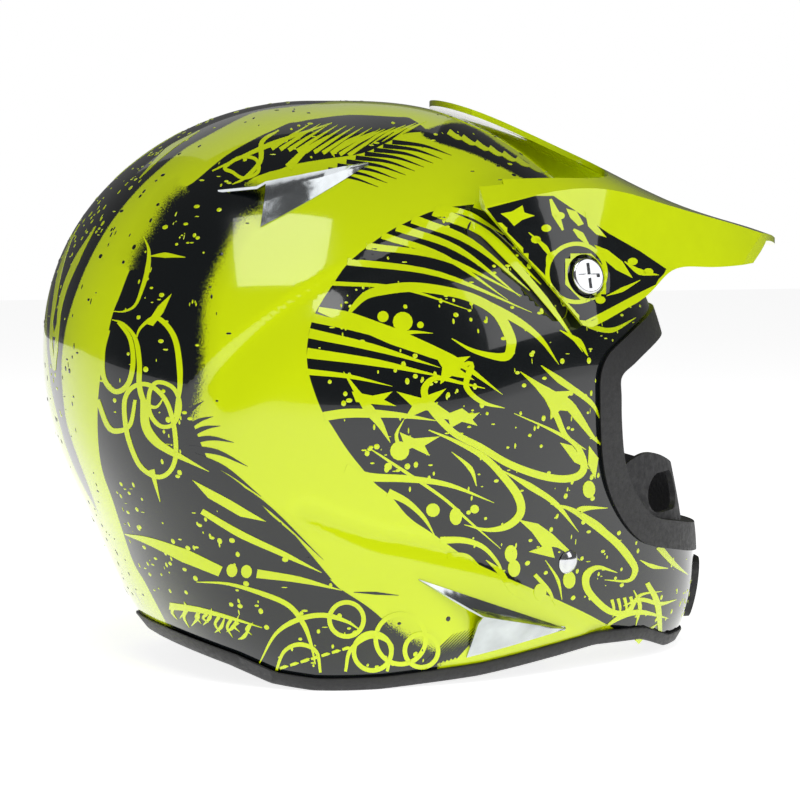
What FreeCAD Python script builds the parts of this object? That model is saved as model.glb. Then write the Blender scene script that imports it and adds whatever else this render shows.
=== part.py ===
import FreeCAD, Part
import math
import os
from functools import lru_cache

from FreeCAD import Vector

# Off-road helmet, in millimetres. +X is the way the wearer faces, +Y is the
# wearer's left, +Z is up, and the helmet stands on the plane z = 0.
# The origin is the middle of the footprint of the whole helmet.
# Until export, x = 0 is the vertical line through the middle of the head.

# Driving dimensions
shellLength = 320.0          # back of the shell to the front of the chin bar
shellWidth = 236.0
shellHeight = 266.0          # table to crown
shellWall = 3.6
rubberWall = 1.8             # edging rubber
bondGap = 0.1                # glue line between fixed pieces
padGap = 0.4                 # air between soft pieces and hard ones
runningGap = 0.08            # radial play of a turning rivet
swingGap = 0.6               # play beside a swinging piece
baseTrimHeight = 11.5
baseLipHeight = 8.0
edgeSeat = 2.3               # how far rubber reaches past the edge it covers
portTrimWidth = 13.5
eyePortLow = 48.0            # height of the eye port's lower edge at the middle
headPadThickness = 8.0
chinFoamThickness = 12.0
neckRollThickness = 20.0
cheekPadInner = 58.0         # half of the room between the cheek pads
cheekPadThickness = 24.0
cheekPadTop = 87.0
guardWall = 3.0
visorWall = 2.8
visorPivotX = 97.0
visorPivotZ = 185.0
screwHeadRadius = 8.4
screwHeadHeight = 3.6
screwShankRadius = 3.0
screwRecessDepth = 1.8
screwFloorWall = 1.6
strapPivotX = 94.0
strapPivotZ = 53.0
rivetHeadRadius = 5.6
rivetShankRadius = 3.0
tabInner = 69.5              # half distance between the strap tabs
tabWall = 1.6
strapWidth = 22.0
strapWall = 1.6
ringHeight = 13.2            # middle of the D rings above the table
ringWire = 1.8               # radius of the wire of a D ring
ringReach = 18.0             # between the two bars of a D ring
ventWall = 1.8
snapRadius = 5.5
snapHeight = 2.2

# Profiles of the shell: distance from the head centre against the angle from
# straight up, in degrees, to the front, to the side and to the back.
frontProfile = [(0, 136), (22, 143), (44, 150), (60, 156), (75, 165), (90, 174), (103, 190),
                (113, 210), (121, 222), (131, 222), (150, 192), (180, 150)]
sideProfile = [(0, 136), (30, 128), (60, 121), (90, 118), (110, 122), (122, 130), (139, 156),
               (152, 163), (180, 150)]
backProfile = [(0, 136), (37, 136), (60, 134), (85, 126), (102, 121), (125, 121), (145, 135),
               (162, 145), (180, 150)]
frontSquareness = [(0, 2.0), (45, 2.3), (80, 2.45), (110, 2.1), (130, 2.0), (180, 2.0)]
backSquareness = [(0, 2.0), (60, 2.2), (90, 2.35), (120, 2.2), (150, 2.0), (180, 2.0)]
cheekPinch = [(0, 0.0), (80, 0.0), (110, 0.05), (125, 0.06), (150, 0.0), (180, 0.0)]
# The room for the head, in the same form.
headFront = [(0, 100), (45, 103), (64, 106), (80, 140), (95, 220), (125, 250), (180, 250)]
headSide = [(0, 100), (45, 90), (90, 79), (135, 110), (150, 150), (180, 150)]
headBack = [(0, 100), (45, 99), (90, 95), (120, 87), (135, 91), (150, 112), (180, 130)]
roundSection = [(0, 2.0), (180, 2.0)]
noPinch = [(0, 0.0), (180, 0.0)]

drawnCentre = 130.0
drawnHeight = 266.0
farAway = 500.0


def curveThrough(table):
    """A smooth function through (angle, value) pairs, flat at both ends."""
    xs = [float(pair[0]) for pair in table]
    ys = [float(pair[1]) for pair in table]
    last = len(xs) - 1
    steps = [xs[i + 1] - xs[i] for i in range(last)]
    rises = [(ys[i + 1] - ys[i]) / steps[i] for i in range(last)]
    lower = [0.0] + steps
    middle = [2 * steps[0]] + [2 * (steps[i - 1] + steps[i]) for i in range(1, last)] + [2 * steps[-1]]
    upper = steps + [0.0]
    right = [6 * rises[0]] + [6 * (rises[i] - rises[i - 1]) for i in range(1, last)] + [-6 * rises[-1]]
    for i in range(1, last + 1):
        weight = lower[i] / middle[i - 1]
        middle[i] -= weight * upper[i - 1]
        right[i] -= weight * right[i - 1]
    bends = [0.0] * (last + 1)
    bends[last] = right[last] / middle[last]
    for i in range(last - 1, -1, -1):
        bends[i] = (right[i] - upper[i] * bends[i + 1]) / middle[i]

    def value(x):
        i = 0
        while i < last - 1 and x > xs[i + 1]:
            i += 1
        step = steps[i]
        before = xs[i + 1] - x
        after = x - xs[i]
        cubic = (bends[i] * before ** 3 + bends[i + 1] * after ** 3) / (6 * step)
        start = ys[i] / step - bends[i] * step / 6
        end = ys[i + 1] / step - bends[i + 1] * step / 6
        return cubic + start * before + end * after

    return value


def smoothStep(value):
    t = max(0.0, min(1.0, value))
    return t * t * t * (t * (6 * t - 15) + 10)


def starForm(front, side, back, frontPower, backPower, pinch):
    """Distance from the centre of a rounded form, by polar angle and azimuth."""
    frontAt = curveThrough(front)
    sideAt = curveThrough(side)
    backAt = curveThrough(back)
    frontPowerAt = curveThrough(frontPower)
    backPowerAt = curveThrough(backPower)
    pinchAt = curveThrough(pinch)

    def reach(polar, azimuth):
        c = math.cos(azimuth)
        s = math.sin(azimuth)
        share = smoothStep((c + 0.7) / 1.4)
        along = backAt(polar) + (frontAt(polar) - backAt(polar)) * share
        power = backPowerAt(polar) + (frontPowerAt(polar) - backPowerAt(polar)) * share
        radius = ((abs(c) / along) ** power + (abs(s) / sideAt(polar)) ** power) ** (-1 / power)
        return radius * (1 - pinchAt(polar) * math.sin(2 * azimuth) ** 2 * smoothStep(c))

    return reach


shellForm = starForm(frontProfile, sideProfile, backProfile, frontSquareness, backSquareness, cheekPinch)
headForm = starForm(headFront, headSide, headBack, roundSection, roundSection, noPinch)


def widest(profile):
    at = curveThrough(profile)
    return max(at(angle) * math.sin(math.radians(angle)) for angle in range(60, 140))


# The drawn form is stretched to the driving sizes.
stretchX = shellLength / (widest(frontProfile) + widest(backProfile))
stretchY = shellWidth / (2 * widest(sideProfile))
stretchZ = shellHeight / drawnHeight
centreZ = drawnCentre * stretchZ


def formPoint(form, polar, azimuth, offset):
    radius = form(polar, azimuth)
    level = math.sin(math.radians(polar))
    point = Vector(radius * level * math.cos(azimuth) * stretchX,
                   radius * level * math.sin(azimuth) * stretchY,
                   radius * math.cos(math.radians(polar)) * stretchZ)
    point = point * (1 + offset / point.Length)
    return point + Vector(0, 0, centreZ)


def formReach(form, x, y, z, offset):
    """How far the point lies outside the offset form; negative inside."""
    drawn = Vector(x / stretchX, y / stretchY, (z - centreZ) / stretchZ)
    length = drawn.Length
    polar = math.degrees(math.acos(max(-1.0, min(1.0, drawn.z / length))))
    azimuth = math.atan2(drawn.y, drawn.x)
    actual = Vector(x, y, z - centreZ).Length
    return actual * (1 - form(polar, azimuth) / length) - offset


def skinY(x, z, offset=0.0):
    """Half width of the shell at a place in side view, in stretched sizes."""
    low = 0.01
    high = 300.0
    for _ in range(40):
        middle = (low + high) / 2
        if formReach(shellForm, x, middle, z, offset) < 0:
            low = middle
        else:
            high = middle
    return low


def skinNormal(x, z):
    """Outward direction of the shell at a place on its left side."""
    step = 1.5
    alongX = (skinY(x + step, z) - skinY(x - step, z)) / (2 * step)
    alongZ = (skinY(x, z + step) - skinY(x, z - step)) / (2 * step)
    return Vector(-alongX, 1, -alongZ).normalize()


def blob(form, offset, rows=25, columns=32):
    """Closed solid of a form grown by the offset along its rays."""
    grid = []
    for i in range(rows):
        polar = 180.0 * i / (rows - 1)
        row = []
        for j in range(columns + 1):
            azimuth = math.pi + 2 * math.pi * (j % columns) / columns
            row.append(formPoint(form, polar, azimuth, offset))
        if i in (0, rows - 1):
            row = [Vector(0, 0, row[0].z)] * (columns + 1)
        grid.append(row)
    surface = Part.BSplineSurface()
    surface.interpolate(grid)
    solid = Part.Solid(Part.Shell([surface.toShape()]))
    if solid.Volume < 0:
        solid.reverse()
    return solid


@lru_cache(maxsize=None)
def shellBlob(offset):
    return blob(shellForm, offset)


@lru_cache(maxsize=None)
def headBlob(offset):
    return blob(headForm, offset)


@lru_cache(maxsize=None)
def layer(outer, inner):
    """Wall between two offsets of the shell's outer surface."""
    return shellBlob(outer).cut(shellBlob(inner))


def side(x, z, y=-farAway):
    return Vector(x * stretchX, y, z * stretchZ)


def curveEdge(points, start=None, end=None):
    curve = Part.BSplineCurve()
    if start is None:
        curve.interpolate(points)
    else:
        curve.interpolate(Points=points, InitialTangent=start, FinalTangent=end)
    return curve.toShape()


def chain(groups):
    """Wire through groups of points: two points give a line, more a curve."""
    edges = []
    for group in groups:
        if len(group) == 2:
            edges.append(Part.makeLine(group[0], group[1]))
        else:
            edges.append(curveEdge(group))
    return Part.Wire(edges)


def slab(groups):
    """Side-view outline pushed through the whole width of the helmet."""
    wire = chain([[side(x, z) for x, z in group] for group in groups])
    return Part.Face(wire).extrude(Vector(0, 2 * farAway, 0))


def polygonSlab(points):
    ends = points + [points[0]]
    return slab([[ends[i], ends[i + 1]] for i in range(len(points))])


def halfSpace(sign, distance):
    """Everything beyond |y| = distance on one side."""
    box = Part.makeBox(2 * farAway, farAway, 2 * farAway, Vector(-farAway, distance, -farAway))
    if sign < 0:
        return box.mirror(Vector(0, 0, 0), Vector(0, 1, 0))
    return box


def mirrored(shape):
    return shape.mirror(Vector(0, 0, 0), Vector(0, 1, 0))


# Outline of the bottom rim in side view: level where it meets the table.
rimBack = [(-95, 17), (-80, 16), (-60, 9), (-45, 2), (-30, 0)]
rimFront = [(0, 0), (48, 3), (92, 8), (115, 11), (146, 10), (166, 3), (174, 0)]


@lru_cache(maxsize=None)
def aboveRim(raised):
    """Everything higher than the rim line lifted by a height."""
    lift = Vector(0, 0, raised)
    back = [side(x, z) + lift for x, z in rimBack]
    front = [side(x, z) + lift for x, z in rimFront]
    farBack = side(-170, 19) + lift
    farFront = side(240, 0) + lift
    level = Vector(1, 0, 0)
    edges = [Part.makeLine(farBack, back[0]),
             curveEdge(back, (back[1] - back[0]).normalize(), level),
             Part.makeLine(back[-1], front[0]),
             curveEdge(front, level, level),
             Part.makeLine(front[-1], farFront)]
    roof = [farFront, side(240, 330), side(-170, 330), farBack]
    edges += [Part.makeLine(roof[i], roof[i + 1]) for i in range(3)]
    return Part.Face(Part.Wire(edges)).extrude(Vector(0, 2 * farAway, 0))


# Outer edge of the eye port's rubber in side view, from the chin over to the brow.
portEdge = [(196, eyePortLow), (175, eyePortLow + 2), (160, 53), (140, 58), (123, 72), (112, 90),
            (107, 110), (105, 130), (107, 145), (118, 154), (134, 162), (152, 168), (172, 170)]


@lru_cache(maxsize=None)
def portSlab(grow):
    """The eye port's outline, moved outwards, pushed through the helmet."""
    path = Part.BSplineCurve()
    path.interpolate([side(x, z) for x, z in portEdge])
    moved = []
    count = 24
    for i in range(count + 1):
        at = path.FirstParameter + (path.LastParameter - path.FirstParameter) * i / count
        tangent = path.tangent(at)[0]
        outward = Vector(-tangent.z, 0, tangent.x)
        moved.append(path.value(at) + outward * grow)
    frontX = 260 * stretchX
    low = moved[0]
    high = moved[-1]
    lowEnd = Vector(frontX, -farAway, low.z)
    highEnd = Vector(frontX, -farAway, high.z)
    wire = chain([moved, [high, highEnd], [highEnd, lowEnd], [lowEnd, low]])
    return Part.Face(wire).extrude(Vector(0, 2 * farAway, 0))


def rod(radius, start, direction, length):
    return Part.makeCylinder(radius, length, start, direction)


def dome(radius, height, start, direction):
    """Cap of a sphere standing on a circle."""
    ball = (radius * radius + height * height) / (2 * height)
    sphere = Part.makeSphere(ball, start - direction * (ball - height))
    return sphere.common(rod(2 * ball, start, direction, 2 * ball))


def hullSolid(corners, faces):
    """Flat-sided solid from corner points and lists of corner numbers."""
    made = []
    for face in faces:
        loop = [corners[i] for i in face] + [corners[face[0]]]
        made.append(Part.Face(Part.makePolygon(loop)))
    solid = Part.Solid(Part.Shell(made))
    if solid.Volume < 0:
        solid.reverse()
    return solid


# Cuts through the shell for air
browSlotStart = (48, 205)
browSlotEnd = (82, 171)
browSlotWidth = 12.0
mouthVentWidth = 54.0
mouthVentLow = 13.0
mouthVentHigh = 43.0
mouthHoleInset = 6.0


def browSlot(grow):
    """Rounded slot in side view beside the visor's rear edge, both sides."""
    start = side(*browSlotStart)
    end = side(*browSlotEnd)
    along = (end - start).normalize()
    across = Vector(-along.z, 0, along.x)
    half = browSlotWidth / 2 + grow
    corners = [start + across * half, end + across * half, end - across * half, start - across * half]
    wire = Part.Wire([Part.makeLine(corners[0], corners[1]),
                      Part.Arc(corners[1], end + along * half, corners[2]).toShape(),
                      Part.makeLine(corners[2], corners[3]),
                      Part.Arc(corners[3], start - along * half, corners[0]).toShape()])
    return Part.Face(wire).extrude(Vector(0, 2 * farAway, 0))


def mouthOutline(inset):
    """Front-view outline of the mouth vent, narrower at the bottom."""
    half = mouthVentWidth / 2 * stretchY - inset
    low = mouthVentLow * stretchZ + inset
    high = mouthVentHigh * stretchZ - inset
    corners = [Vector(0, -half * 0.72, low), Vector(0, half * 0.72, low), Vector(0, half, high),
               Vector(0, -half, high)]
    block = Part.Face(Part.makePolygon(corners + [corners[0]])).extrude(Vector(farAway, 0, 0))
    uprights = [edge for edge in block.Edges if abs(edge.Length - farAway) < 1e-6]
    return block.makeFillet(5.0, uprights)


def visorRow(table, x):
    """Values of the visor's table at a place along it, between its stations."""
    for first, second in zip(table, table[1:]):
        if x <= second[0]:
            share = (x - first[0]) / (second[0] - first[0])
            return [a + (b - a) * share for a, b in zip(first, second)]
    return list(table[-1])


# Visor sections: x, spine z, shoulder y and z, lower edge y and z.
visorStations = [(40, 274.0, 99.5, 215.0, 114.5, 150.0),
                 (62, 266.5, 98.0, 219.5, 113.0, 154.0),
                 (80, 261.0, 96.5, 223.0, 111.5, 158.0),
                 (100, 252.5, 93.0, 225.0, 107.5, 163.0),
                 (120, 243.0, 87.5, 223.5, 97.0, 170.0),
                 (145, 230.5, 78.5, 218.0, 84.0, 177.0),
                 (172, 218.5, 67.0, 212.0, 72.0, 182.0),
                 (198, 211.0, 54.0, 206.5, 61.0, 184.0),
                 (220, 205.5, 43.0, 201.5, 51.0, 185.0),
                 (244, 197.5, 32.0, 194.0, 40.0, 183.0)]


def visorSideY(x, z):
    """Half width of the visor's outer side wall at a place in side view."""
    row = visorRow(visorStations, x)
    share = (row[3] - z) / (row[3] - row[5])
    return (row[2] + (row[4] - row[2]) * share) * stretchY


def visorSection(row, inset):
    """Corner and crown points of one visor section, moved inwards."""
    x, spine, shoulderY, shoulderZ, lowY, lowZ = row
    drop = spine - shoulderZ
    sideways = inset
    downwards = inset
    crown = []
    for share, fall in ((-1.0, 1.0), (-0.72, 0.46), (-0.36, 0.1), (0.0, 0.0), (0.36, 0.1), (0.72, 0.46),
                        (1.0, 1.0)):
        y = (shoulderY * stretchY - sideways) * share
        z = (spine - drop * fall) * stretchZ - downwards
        crown.append(Vector(x * stretchX, y, z))
    low = Vector(x * stretchX, -(lowY * stretchY - sideways), lowZ * stretchZ)
    return low, crown, Vector(low.x, -low.y, low.z)


def visorWire(row):
    """Closed outline of the visor's wall at one station."""
    low, crown, lowLeft = visorSection(row, 0.0)
    innerLow, innerCrown, innerLowLeft = visorSection(row, visorWall)
    edges = [Part.makeLine(low, crown[0]), curveEdge(crown), Part.makeLine(crown[-1], lowLeft),
             Part.makeLine(lowLeft, innerLowLeft), Part.makeLine(innerLowLeft, innerCrown[-1]),
             curveEdge(innerCrown[::-1]), Part.makeLine(innerCrown[0], innerLow),
             Part.makeLine(innerLow, low)]
    return Part.Wire(edges)


# Side view of the visor: rear edge of the side wall, lower edge and nose.
visorRear = [(49, 300), (49, 216), (93, 163)]
visorLower = [(98, 162), (118, 169), (137, 177.5), (149.5, 186), (172, 187.5), (198, 188), (222, 190),
              (240, 192.5)]
# Plan view of half of the visor's nose and of half of the opening beside the tongue.
visorNose = [(172, 90), (186, 70), (201, 57), (216, 44), (229, 28), (237, 14), (239, 0)]
visorOpening = [(20, 19.0), (70, 20.5), (100, 25.0), (117, 33.0), (126, 49.0), (124, 66.0), (113, 80.0),
                (95, 87.5), (20, 91.5)]
tongueEnd = 61.0
tongueHalf = 19.0
tongueEdge = 4.0             # how much wider the round end is than the tongue
tongueRoundLength = 12.0
visorTipHeight = 3.0
aboveVisor = 300.0


def plan(x, y):
    return Vector(x * stretchX, y * stretchY, 0)


def visorPivot():
    return Vector(visorPivotX * stretchX, visorSideY(visorPivotX, visorPivotZ), visorPivotZ * stretchZ)


def visorNormal():
    """Outward direction of the visor's left side wall at its screw."""
    step = 6.0
    x = visorPivotX
    z = visorPivotZ
    alongX = (visorSideY(x + step, z) - visorSideY(x - step, z)) / (2 * step * stretchX)
    alongZ = (visorSideY(x, z + step) - visorSideY(x, z - step)) / (2 * step * stretchZ)
    return Vector(-alongX, 1, -alongZ).normalize()


def makeVisor():
    body = Part.makeLoft([visorWire(row) for row in visorStations], True, False)
    lower = [side(x, z) for x, z in visorLower]
    rear = [side(x, z) for x, z in visorRear]
    top = [side(250, visorLower[-1][1] + visorTipHeight), side(250, aboveVisor)]
    outline = chain([[rear[0], rear[1]], [rear[1], rear[2]], [rear[2], lower[0]], lower,
                     [lower[-1], top[0]], [top[0], top[1]], [top[1], rear[0]]])
    body = body.common(Part.Face(outline).extrude(Vector(0, 2 * farAway, 0)))
    nose = [plan(x, y) for x, y in visorNose] + [plan(x, -y) for x, y in visorNose[-2::-1]]
    corner = plan(0, 140)
    frame = chain([nose, [nose[-1], Vector(corner.x, -corner.y, 0)],
                   [Vector(corner.x, -corner.y, 0), corner], [corner, nose[0]]])
    body = body.common(Part.Face(frame).extrude(Vector(0, 0, farAway)))
    opening = [plan(x, y) for x, y in visorOpening]
    window = Part.Face(chain([opening, [opening[-1], opening[0]]])).extrude(Vector(0, 0, farAway))
    body = body.cut(window).cut(mirrored(window))
    openingHalf = visorOpening[-1][1] * stretchY
    tongueX = tongueEnd * stretchX
    behind = Part.makeBox(tongueX + farAway, 2 * openingHalf, farAway, Vector(-farAway, -openingHalf, 0))
    body = body.cut(behind)
    roundRadius = tongueHalf * stretchY + tongueEdge
    roundEnd = rod(roundRadius, Vector(tongueX + roundRadius, 0, 0), Vector(0, 0, 1), farAway)
    square = Part.makeBox(tongueRoundLength, 2 * roundRadius, farAway, Vector(tongueX, -roundRadius, 0))
    body = body.cut(square.cut(roundEnd))
    return addScrewCup(addScrewCup(body, 1), -1)


def screwFrame(sign):
    """Point on the outside of the side wall at the screw, and the way out."""
    pivot = visorPivot()
    out = visorNormal()
    return Vector(pivot.x, sign * pivot.y, pivot.z), Vector(out.x, sign * out.y, out.z)


cupRadius = 12.0
recessRadius = 10.3
throughReach = 30.0          # long enough to pass through any wall
washerInset = 3.0            # how much smaller the washer is than the cup


def addScrewCup(body, sign):
    """Recess for the screw head in the side wall, with a floor behind it."""
    point, out = screwFrame(sign)
    cupDepth = screwRecessDepth + screwFloorWall
    cup = rod(cupRadius, point - out * cupDepth, out, cupDepth - visorWall / 2)
    recess = rod(recessRadius, point - out * screwRecessDepth, out, throughReach)
    shank = rod(screwShankRadius + swingGap, point - out * throughReach, out, 2 * throughReach)
    return body.fuse(cup).cut(recess).cut(shank)


def makeSpacer(sign):
    """Rubber washer between the shell and the visor's side wall."""
    point, out = screwFrame(sign)
    top = point - out * (screwRecessDepth + screwFloorWall + swingGap)
    washer = rod(cupRadius - washerInset, top - out * throughReach, out, throughReach)
    washer = washer.cut(shellBlob(bondGap))
    hole = rod(screwShankRadius + bondGap, top - out * throughReach, out, 2 * throughReach)
    return largest(washer.cut(hole))


def largest(shape):
    return max(shape.Solids, key=lambda solid: solid.Volume)


nutRadius = 7.0
nutHeight = 4.0
nutInset = 1.5               # how far the nut's flange sits inside the shell
screwTail = 1.0              # screw that shows past the nut


def nutSeat(sign):
    """Foot of the screw's insert nut on the inside of the shell."""
    point, out = screwFrame(sign)
    depth = screwRecessDepth + screwFloorWall
    while formReach(shellForm, *(point - out * depth), -shellWall) > 0:
        depth += 0.25
    return point - out * (depth + nutInset), out


def makeNut(sign):
    seat, out = nutSeat(sign)
    nut = rod(nutRadius, seat - out * nutHeight, out, nutHeight + throughReach)
    nut = nut.common(shellBlob(-shellWall - bondGap))
    bore = rod(screwShankRadius + bondGap, seat - out * throughReach, out, 2 * throughReach)
    return largest(nut.cut(bore))


screwEdgeRadius = 1.2
crossReach = 0.7             # half length of the cross slots, share of the head's radius
crossHalf = 0.9
crossDepth = 1.3


def makeVisorScrew(sign):
    """Dome-edged screw with crossed slots in its head."""
    point, out = screwFrame(sign)
    seat, _ = nutSeat(sign)
    floor = point - out * (screwRecessDepth - swingGap)
    end = seat - out * (nutHeight + screwTail)
    head = rod(screwHeadRadius, floor, out, screwHeadHeight)
    rim = [edge for edge in head.Edges if abs((edge.CenterOfMass - floor).dot(out) - screwHeadHeight) < 1e-6]
    head = head.makeFillet(screwEdgeRadius, rim)
    shank = rod(screwShankRadius, end, out, (floor - end).Length + bondGap)
    across = Vector(0, 0, 1).cross(out).normalize()
    up = out.cross(across)
    slotFloor = floor + out * (screwHeadHeight - crossDepth)
    slotLength = 2 * crossReach * screwHeadRadius
    screw = head.fuse(shank)
    for first, second in ((across, up), (up, across)):
        corner = slotFloor - first * (slotLength / 2) - second * crossHalf
        ends = [corner, corner + first * slotLength, corner + first * slotLength + second * (2 * crossHalf),
                corner + second * (2 * crossHalf), corner]
        screw = screw.cut(Part.Face(Part.makePolygon(ends)).extrude(out * screwHeadHeight))
    return screw


# Rear and lower air scoops, in side view: tip, upper and lower corner of the
# mouth, and the crest between them, with how far the crest stands out.
rearScoop = {"tip": (1, 236), "upper": (-65, 223), "lower": (-52, 209), "crest": (-49, 224), "raise": 10.5}
lowerScoop = {"tip": (95, 21), "upper": (14, 51), "lower": (42, 15), "crest": (41, 36), "raise": 8.5}


def scoopCorner(place, sign, out):
    """Point above the shell at a place in side view."""
    x, z = place
    point = side(x, z, 0)
    normal = skinNormal(point.x, point.z)
    point = Vector(point.x, skinY(point.x, point.z), point.z) + normal * out
    return Vector(point.x, sign * point.y, point.z)


scoopEdge = 2.0              # height of a scoop's edge above the shell
scoopSunk = -9.0


def scoopSolid(sizes, sign, lowered):
    """Three-sided wedge through the shell's surface, lowered by a wall's thickness."""
    edge = scoopEdge - lowered
    corners = [scoopCorner(sizes["tip"], sign, edge), scoopCorner(sizes["upper"], sign, edge),
               scoopCorner(sizes["lower"], sign, edge),
               scoopCorner(sizes["crest"], sign, sizes["raise"] - lowered),
               scoopCorner(sizes["tip"], sign, scoopSunk), scoopCorner(sizes["upper"], sign, scoopSunk),
               scoopCorner(sizes["lower"], sign, scoopSunk)]
    faces = [(0, 1, 3), (0, 3, 2), (1, 2, 3), (1, 5, 6), (1, 6, 2), (0, 4, 5), (0, 5, 1), (0, 2, 6),
             (0, 6, 4), (4, 6, 5)]
    return hullSolid(corners, faces)


def makeScoop(sizes, sign):
    """Wedge-shaped cover on the shell, open at its wide end."""
    solid = scoopSolid(sizes, sign, 0.0).cut(shellBlob(bondGap))
    hollow = scoopSolid(sizes, sign, ventWall)
    tip = scoopCorner(sizes["tip"], sign, 0.0)
    mouth = (scoopCorner(sizes["upper"], sign, 0.0) + scoopCorner(sizes["lower"], sign, 0.0)) * 0.5
    back = (mouth - tip).normalize()
    hollow.translate(back * (2.5 * ventWall))
    return largest(solid.cut(hollow))


# Strap, in the plane across the helmet: y and z of the middle of the webbing.
ringNear = 27.0              # bar of the D rings that holds the long strap
tabBottom = 33.0
tabSlotHeight = 4.6
tabBar = 3.0
foldRoom = 0.3
strapX = strapPivotX * stretchX


def ribbon(points):
    """Webbing that follows a smooth line across the helmet."""
    curve = Part.BSplineCurve()
    curve.interpolate([Vector(strapX - strapWidth / 2, y, z) for y, z in points])
    count = 4 * len(points)
    upper = []
    lower = []
    for i in range(count + 1):
        at = curve.FirstParameter + (curve.LastParameter - curve.FirstParameter) * i / count
        tangent = curve.tangent(at)[0]
        normal = Vector(0, -tangent.z, tangent.y)
        upper.append(curve.value(at) + normal * (strapWall / 2))
        lower.append(curve.value(at) - normal * (strapWall / 2))
    wire = chain([upper, [upper[-1], lower[-1]], lower[::-1], [lower[0], upper[0]]])
    return Part.Face(wire).extrude(Vector(strapWidth, 0, 0))


def wrap(y, z, radius, start, end):
    """Points on a circle, from one angle to another in degrees."""
    count = max(3, int(abs(end - start) / 30) + 1)
    angles = [math.radians(start + (end - start) * i / (count - 1)) for i in range(count)]
    return [(y + radius * math.cos(angle), z + radius * math.sin(angle)) for angle in angles]


def tabFold():
    """Fold of the webbing over the bar of the left strap tab, from outside in."""
    y = tabInner + tabWall / 2
    z = tabBottom + tabBar / 2
    radius = tabBar / 2 + foldRoom + strapWall / 2
    return [(y + radius - 0.5, z - 9), (y + radius, z - 4)] + wrap(y, z, radius, 0, 180)


def ringFold(y, turn):
    """Loop of the webbing round one bar of both rings, from above to below."""
    apart = ringWire + bondGap
    radius = ringWire + foldRoom + strapWall / 2
    return (wrap(y, ringHeight + apart, radius, 90, 90 + turn)
            + wrap(y, ringHeight - apart, radius, 90 + turn, 90 + 2 * turn))


def makeShortStrap():
    fold = tabFold()
    ringFar = ringNear + ringReach
    loop = ringFold(ringFar, 90)
    above = loop[0][1]
    below = loop[-1][1]
    down = [(fold[-1][0] - 0.3, 27), (fold[-1][0] - 4, above + 3.4), (ringFar + 12, above + 0.4)]
    back = [(ringFar + 7, below + 0.3), (ringFar + 14, below + 1.8)]
    return ribbon(fold + down + loop + back)


def makeLongStrap():
    fold = [(-y, z) for y, z in tabFold()]
    loop = ringFold(ringNear, -90)
    above = loop[0][1]
    below = loop[-1][1]
    down = [(fold[-1][0] + 0.3, 27), (fold[-1][0] + 5, 20), (fold[-1][0] + 17, 14.5), (-34, 12.2),
            (-16, 12.2), (0, 13.8), (14, above - 1.2)]
    back = [(ringNear - 12, below + 0.9), (ringNear - 24, below + 1.6), (ringNear - 37, below + 1.0),
            (ringNear - 50, below + 0.9)]
    return ribbon(fold + down + loop + back)


def makeRing(level):
    """One D ring, lying flat, with straight bars across the webbing."""
    half = strapWidth / 2 + 1.6 + ringWire
    near = ringNear
    far = ringNear + ringReach
    bend = 4.0
    tuck = bend * (1 - math.sqrt(0.5))

    def at(x, y):
        return Vector(strapX + x, y, level)

    edges = []
    for first, corner, last, following in (
            (at(half - bend, near), at(half - tuck, near + tuck), at(half, near + bend), at(half, far - bend)),
            (at(half, far - bend), at(half - tuck, far - tuck), at(half - bend, far), at(bend - half, far)),
            (at(bend - half, far), at(tuck - half, far - tuck), at(-half, far - bend), at(-half, near + bend)),
            (at(-half, near + bend), at(tuck - half, near + tuck), at(bend - half, near),
             at(half - bend, near))):
        edges.append(Part.Arc(first, corner, last).toShape())
        edges.append(Part.makeLine(last, following))
    start = at(half - bend, near)
    section = Part.Wire(Part.Circle(start, Vector(1, 0, 0), ringWire).toShape())
    return Part.Wire(edges).makePipeShell([section], True, True)


def makeTab(sign):
    """Steel plate that hangs on the rivet and holds the webbing in its slot."""
    pivot = Vector(strapX, tabInner, strapPivotZ * stretchZ)
    direction = Vector(0, 1, 0)
    width = strapWidth + 5.0
    eye = rod(9.0, pivot, direction, tabWall)
    top = Part.makeBox(width, tabWall, pivot.z - tabBottom, Vector(strapX - width / 2, tabInner, tabBottom))
    upperCorners = [edge for edge in top.Edges if abs(edge.CenterOfMass.z - pivot.z) < 1e-6
                    and abs(edge.CenterOfMass.y - pivot.y - tabWall / 2) < 1e-6]
    plate = eye.fuse(top.makeChamfer(8.0, upperCorners))
    slotWidth = strapWidth + 1.0
    slot = Part.makeBox(slotWidth, 3 * tabWall, tabSlotHeight,
                        Vector(strapX - slotWidth / 2, tabInner - tabWall, tabBottom + tabBar))
    plate = plate.cut(slot).cut(rod(rivetShankRadius + runningGap, pivot - direction * 5, direction, 12))
    plate = plate.removeSplitter()
    return plate if sign > 0 else mirrored(plate)


def makeStrapRivet(sign):
    """Rivet through the shell: domed outside, flat head inside the tab."""
    skin = skinY(strapX, strapPivotZ * stretchZ)
    inner = tabInner - bondGap
    start = Vector(strapX, inner, strapPivotZ * stretchZ)
    outward = Vector(0, 1, 0)
    shank = rod(rivetShankRadius, start, outward, skin - inner)
    tail = rod(rivetHeadRadius, start - outward * 1.6, outward, 1.6)
    seat = Vector(strapX, skin, strapPivotZ * stretchZ)
    normal = skinNormal(seat.x, seat.z)
    cap = dome(rivetHeadRadius, 2.4, seat + normal * 0.4, normal)
    collar = rod(rivetHeadRadius, seat - normal * 2.0, normal, 2.4).cut(shellBlob(bondGap))
    rivet = shank.fuse([tail, cap, collar]).removeSplitter()
    return rivet if sign > 0 else mirrored(rivet)


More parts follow.
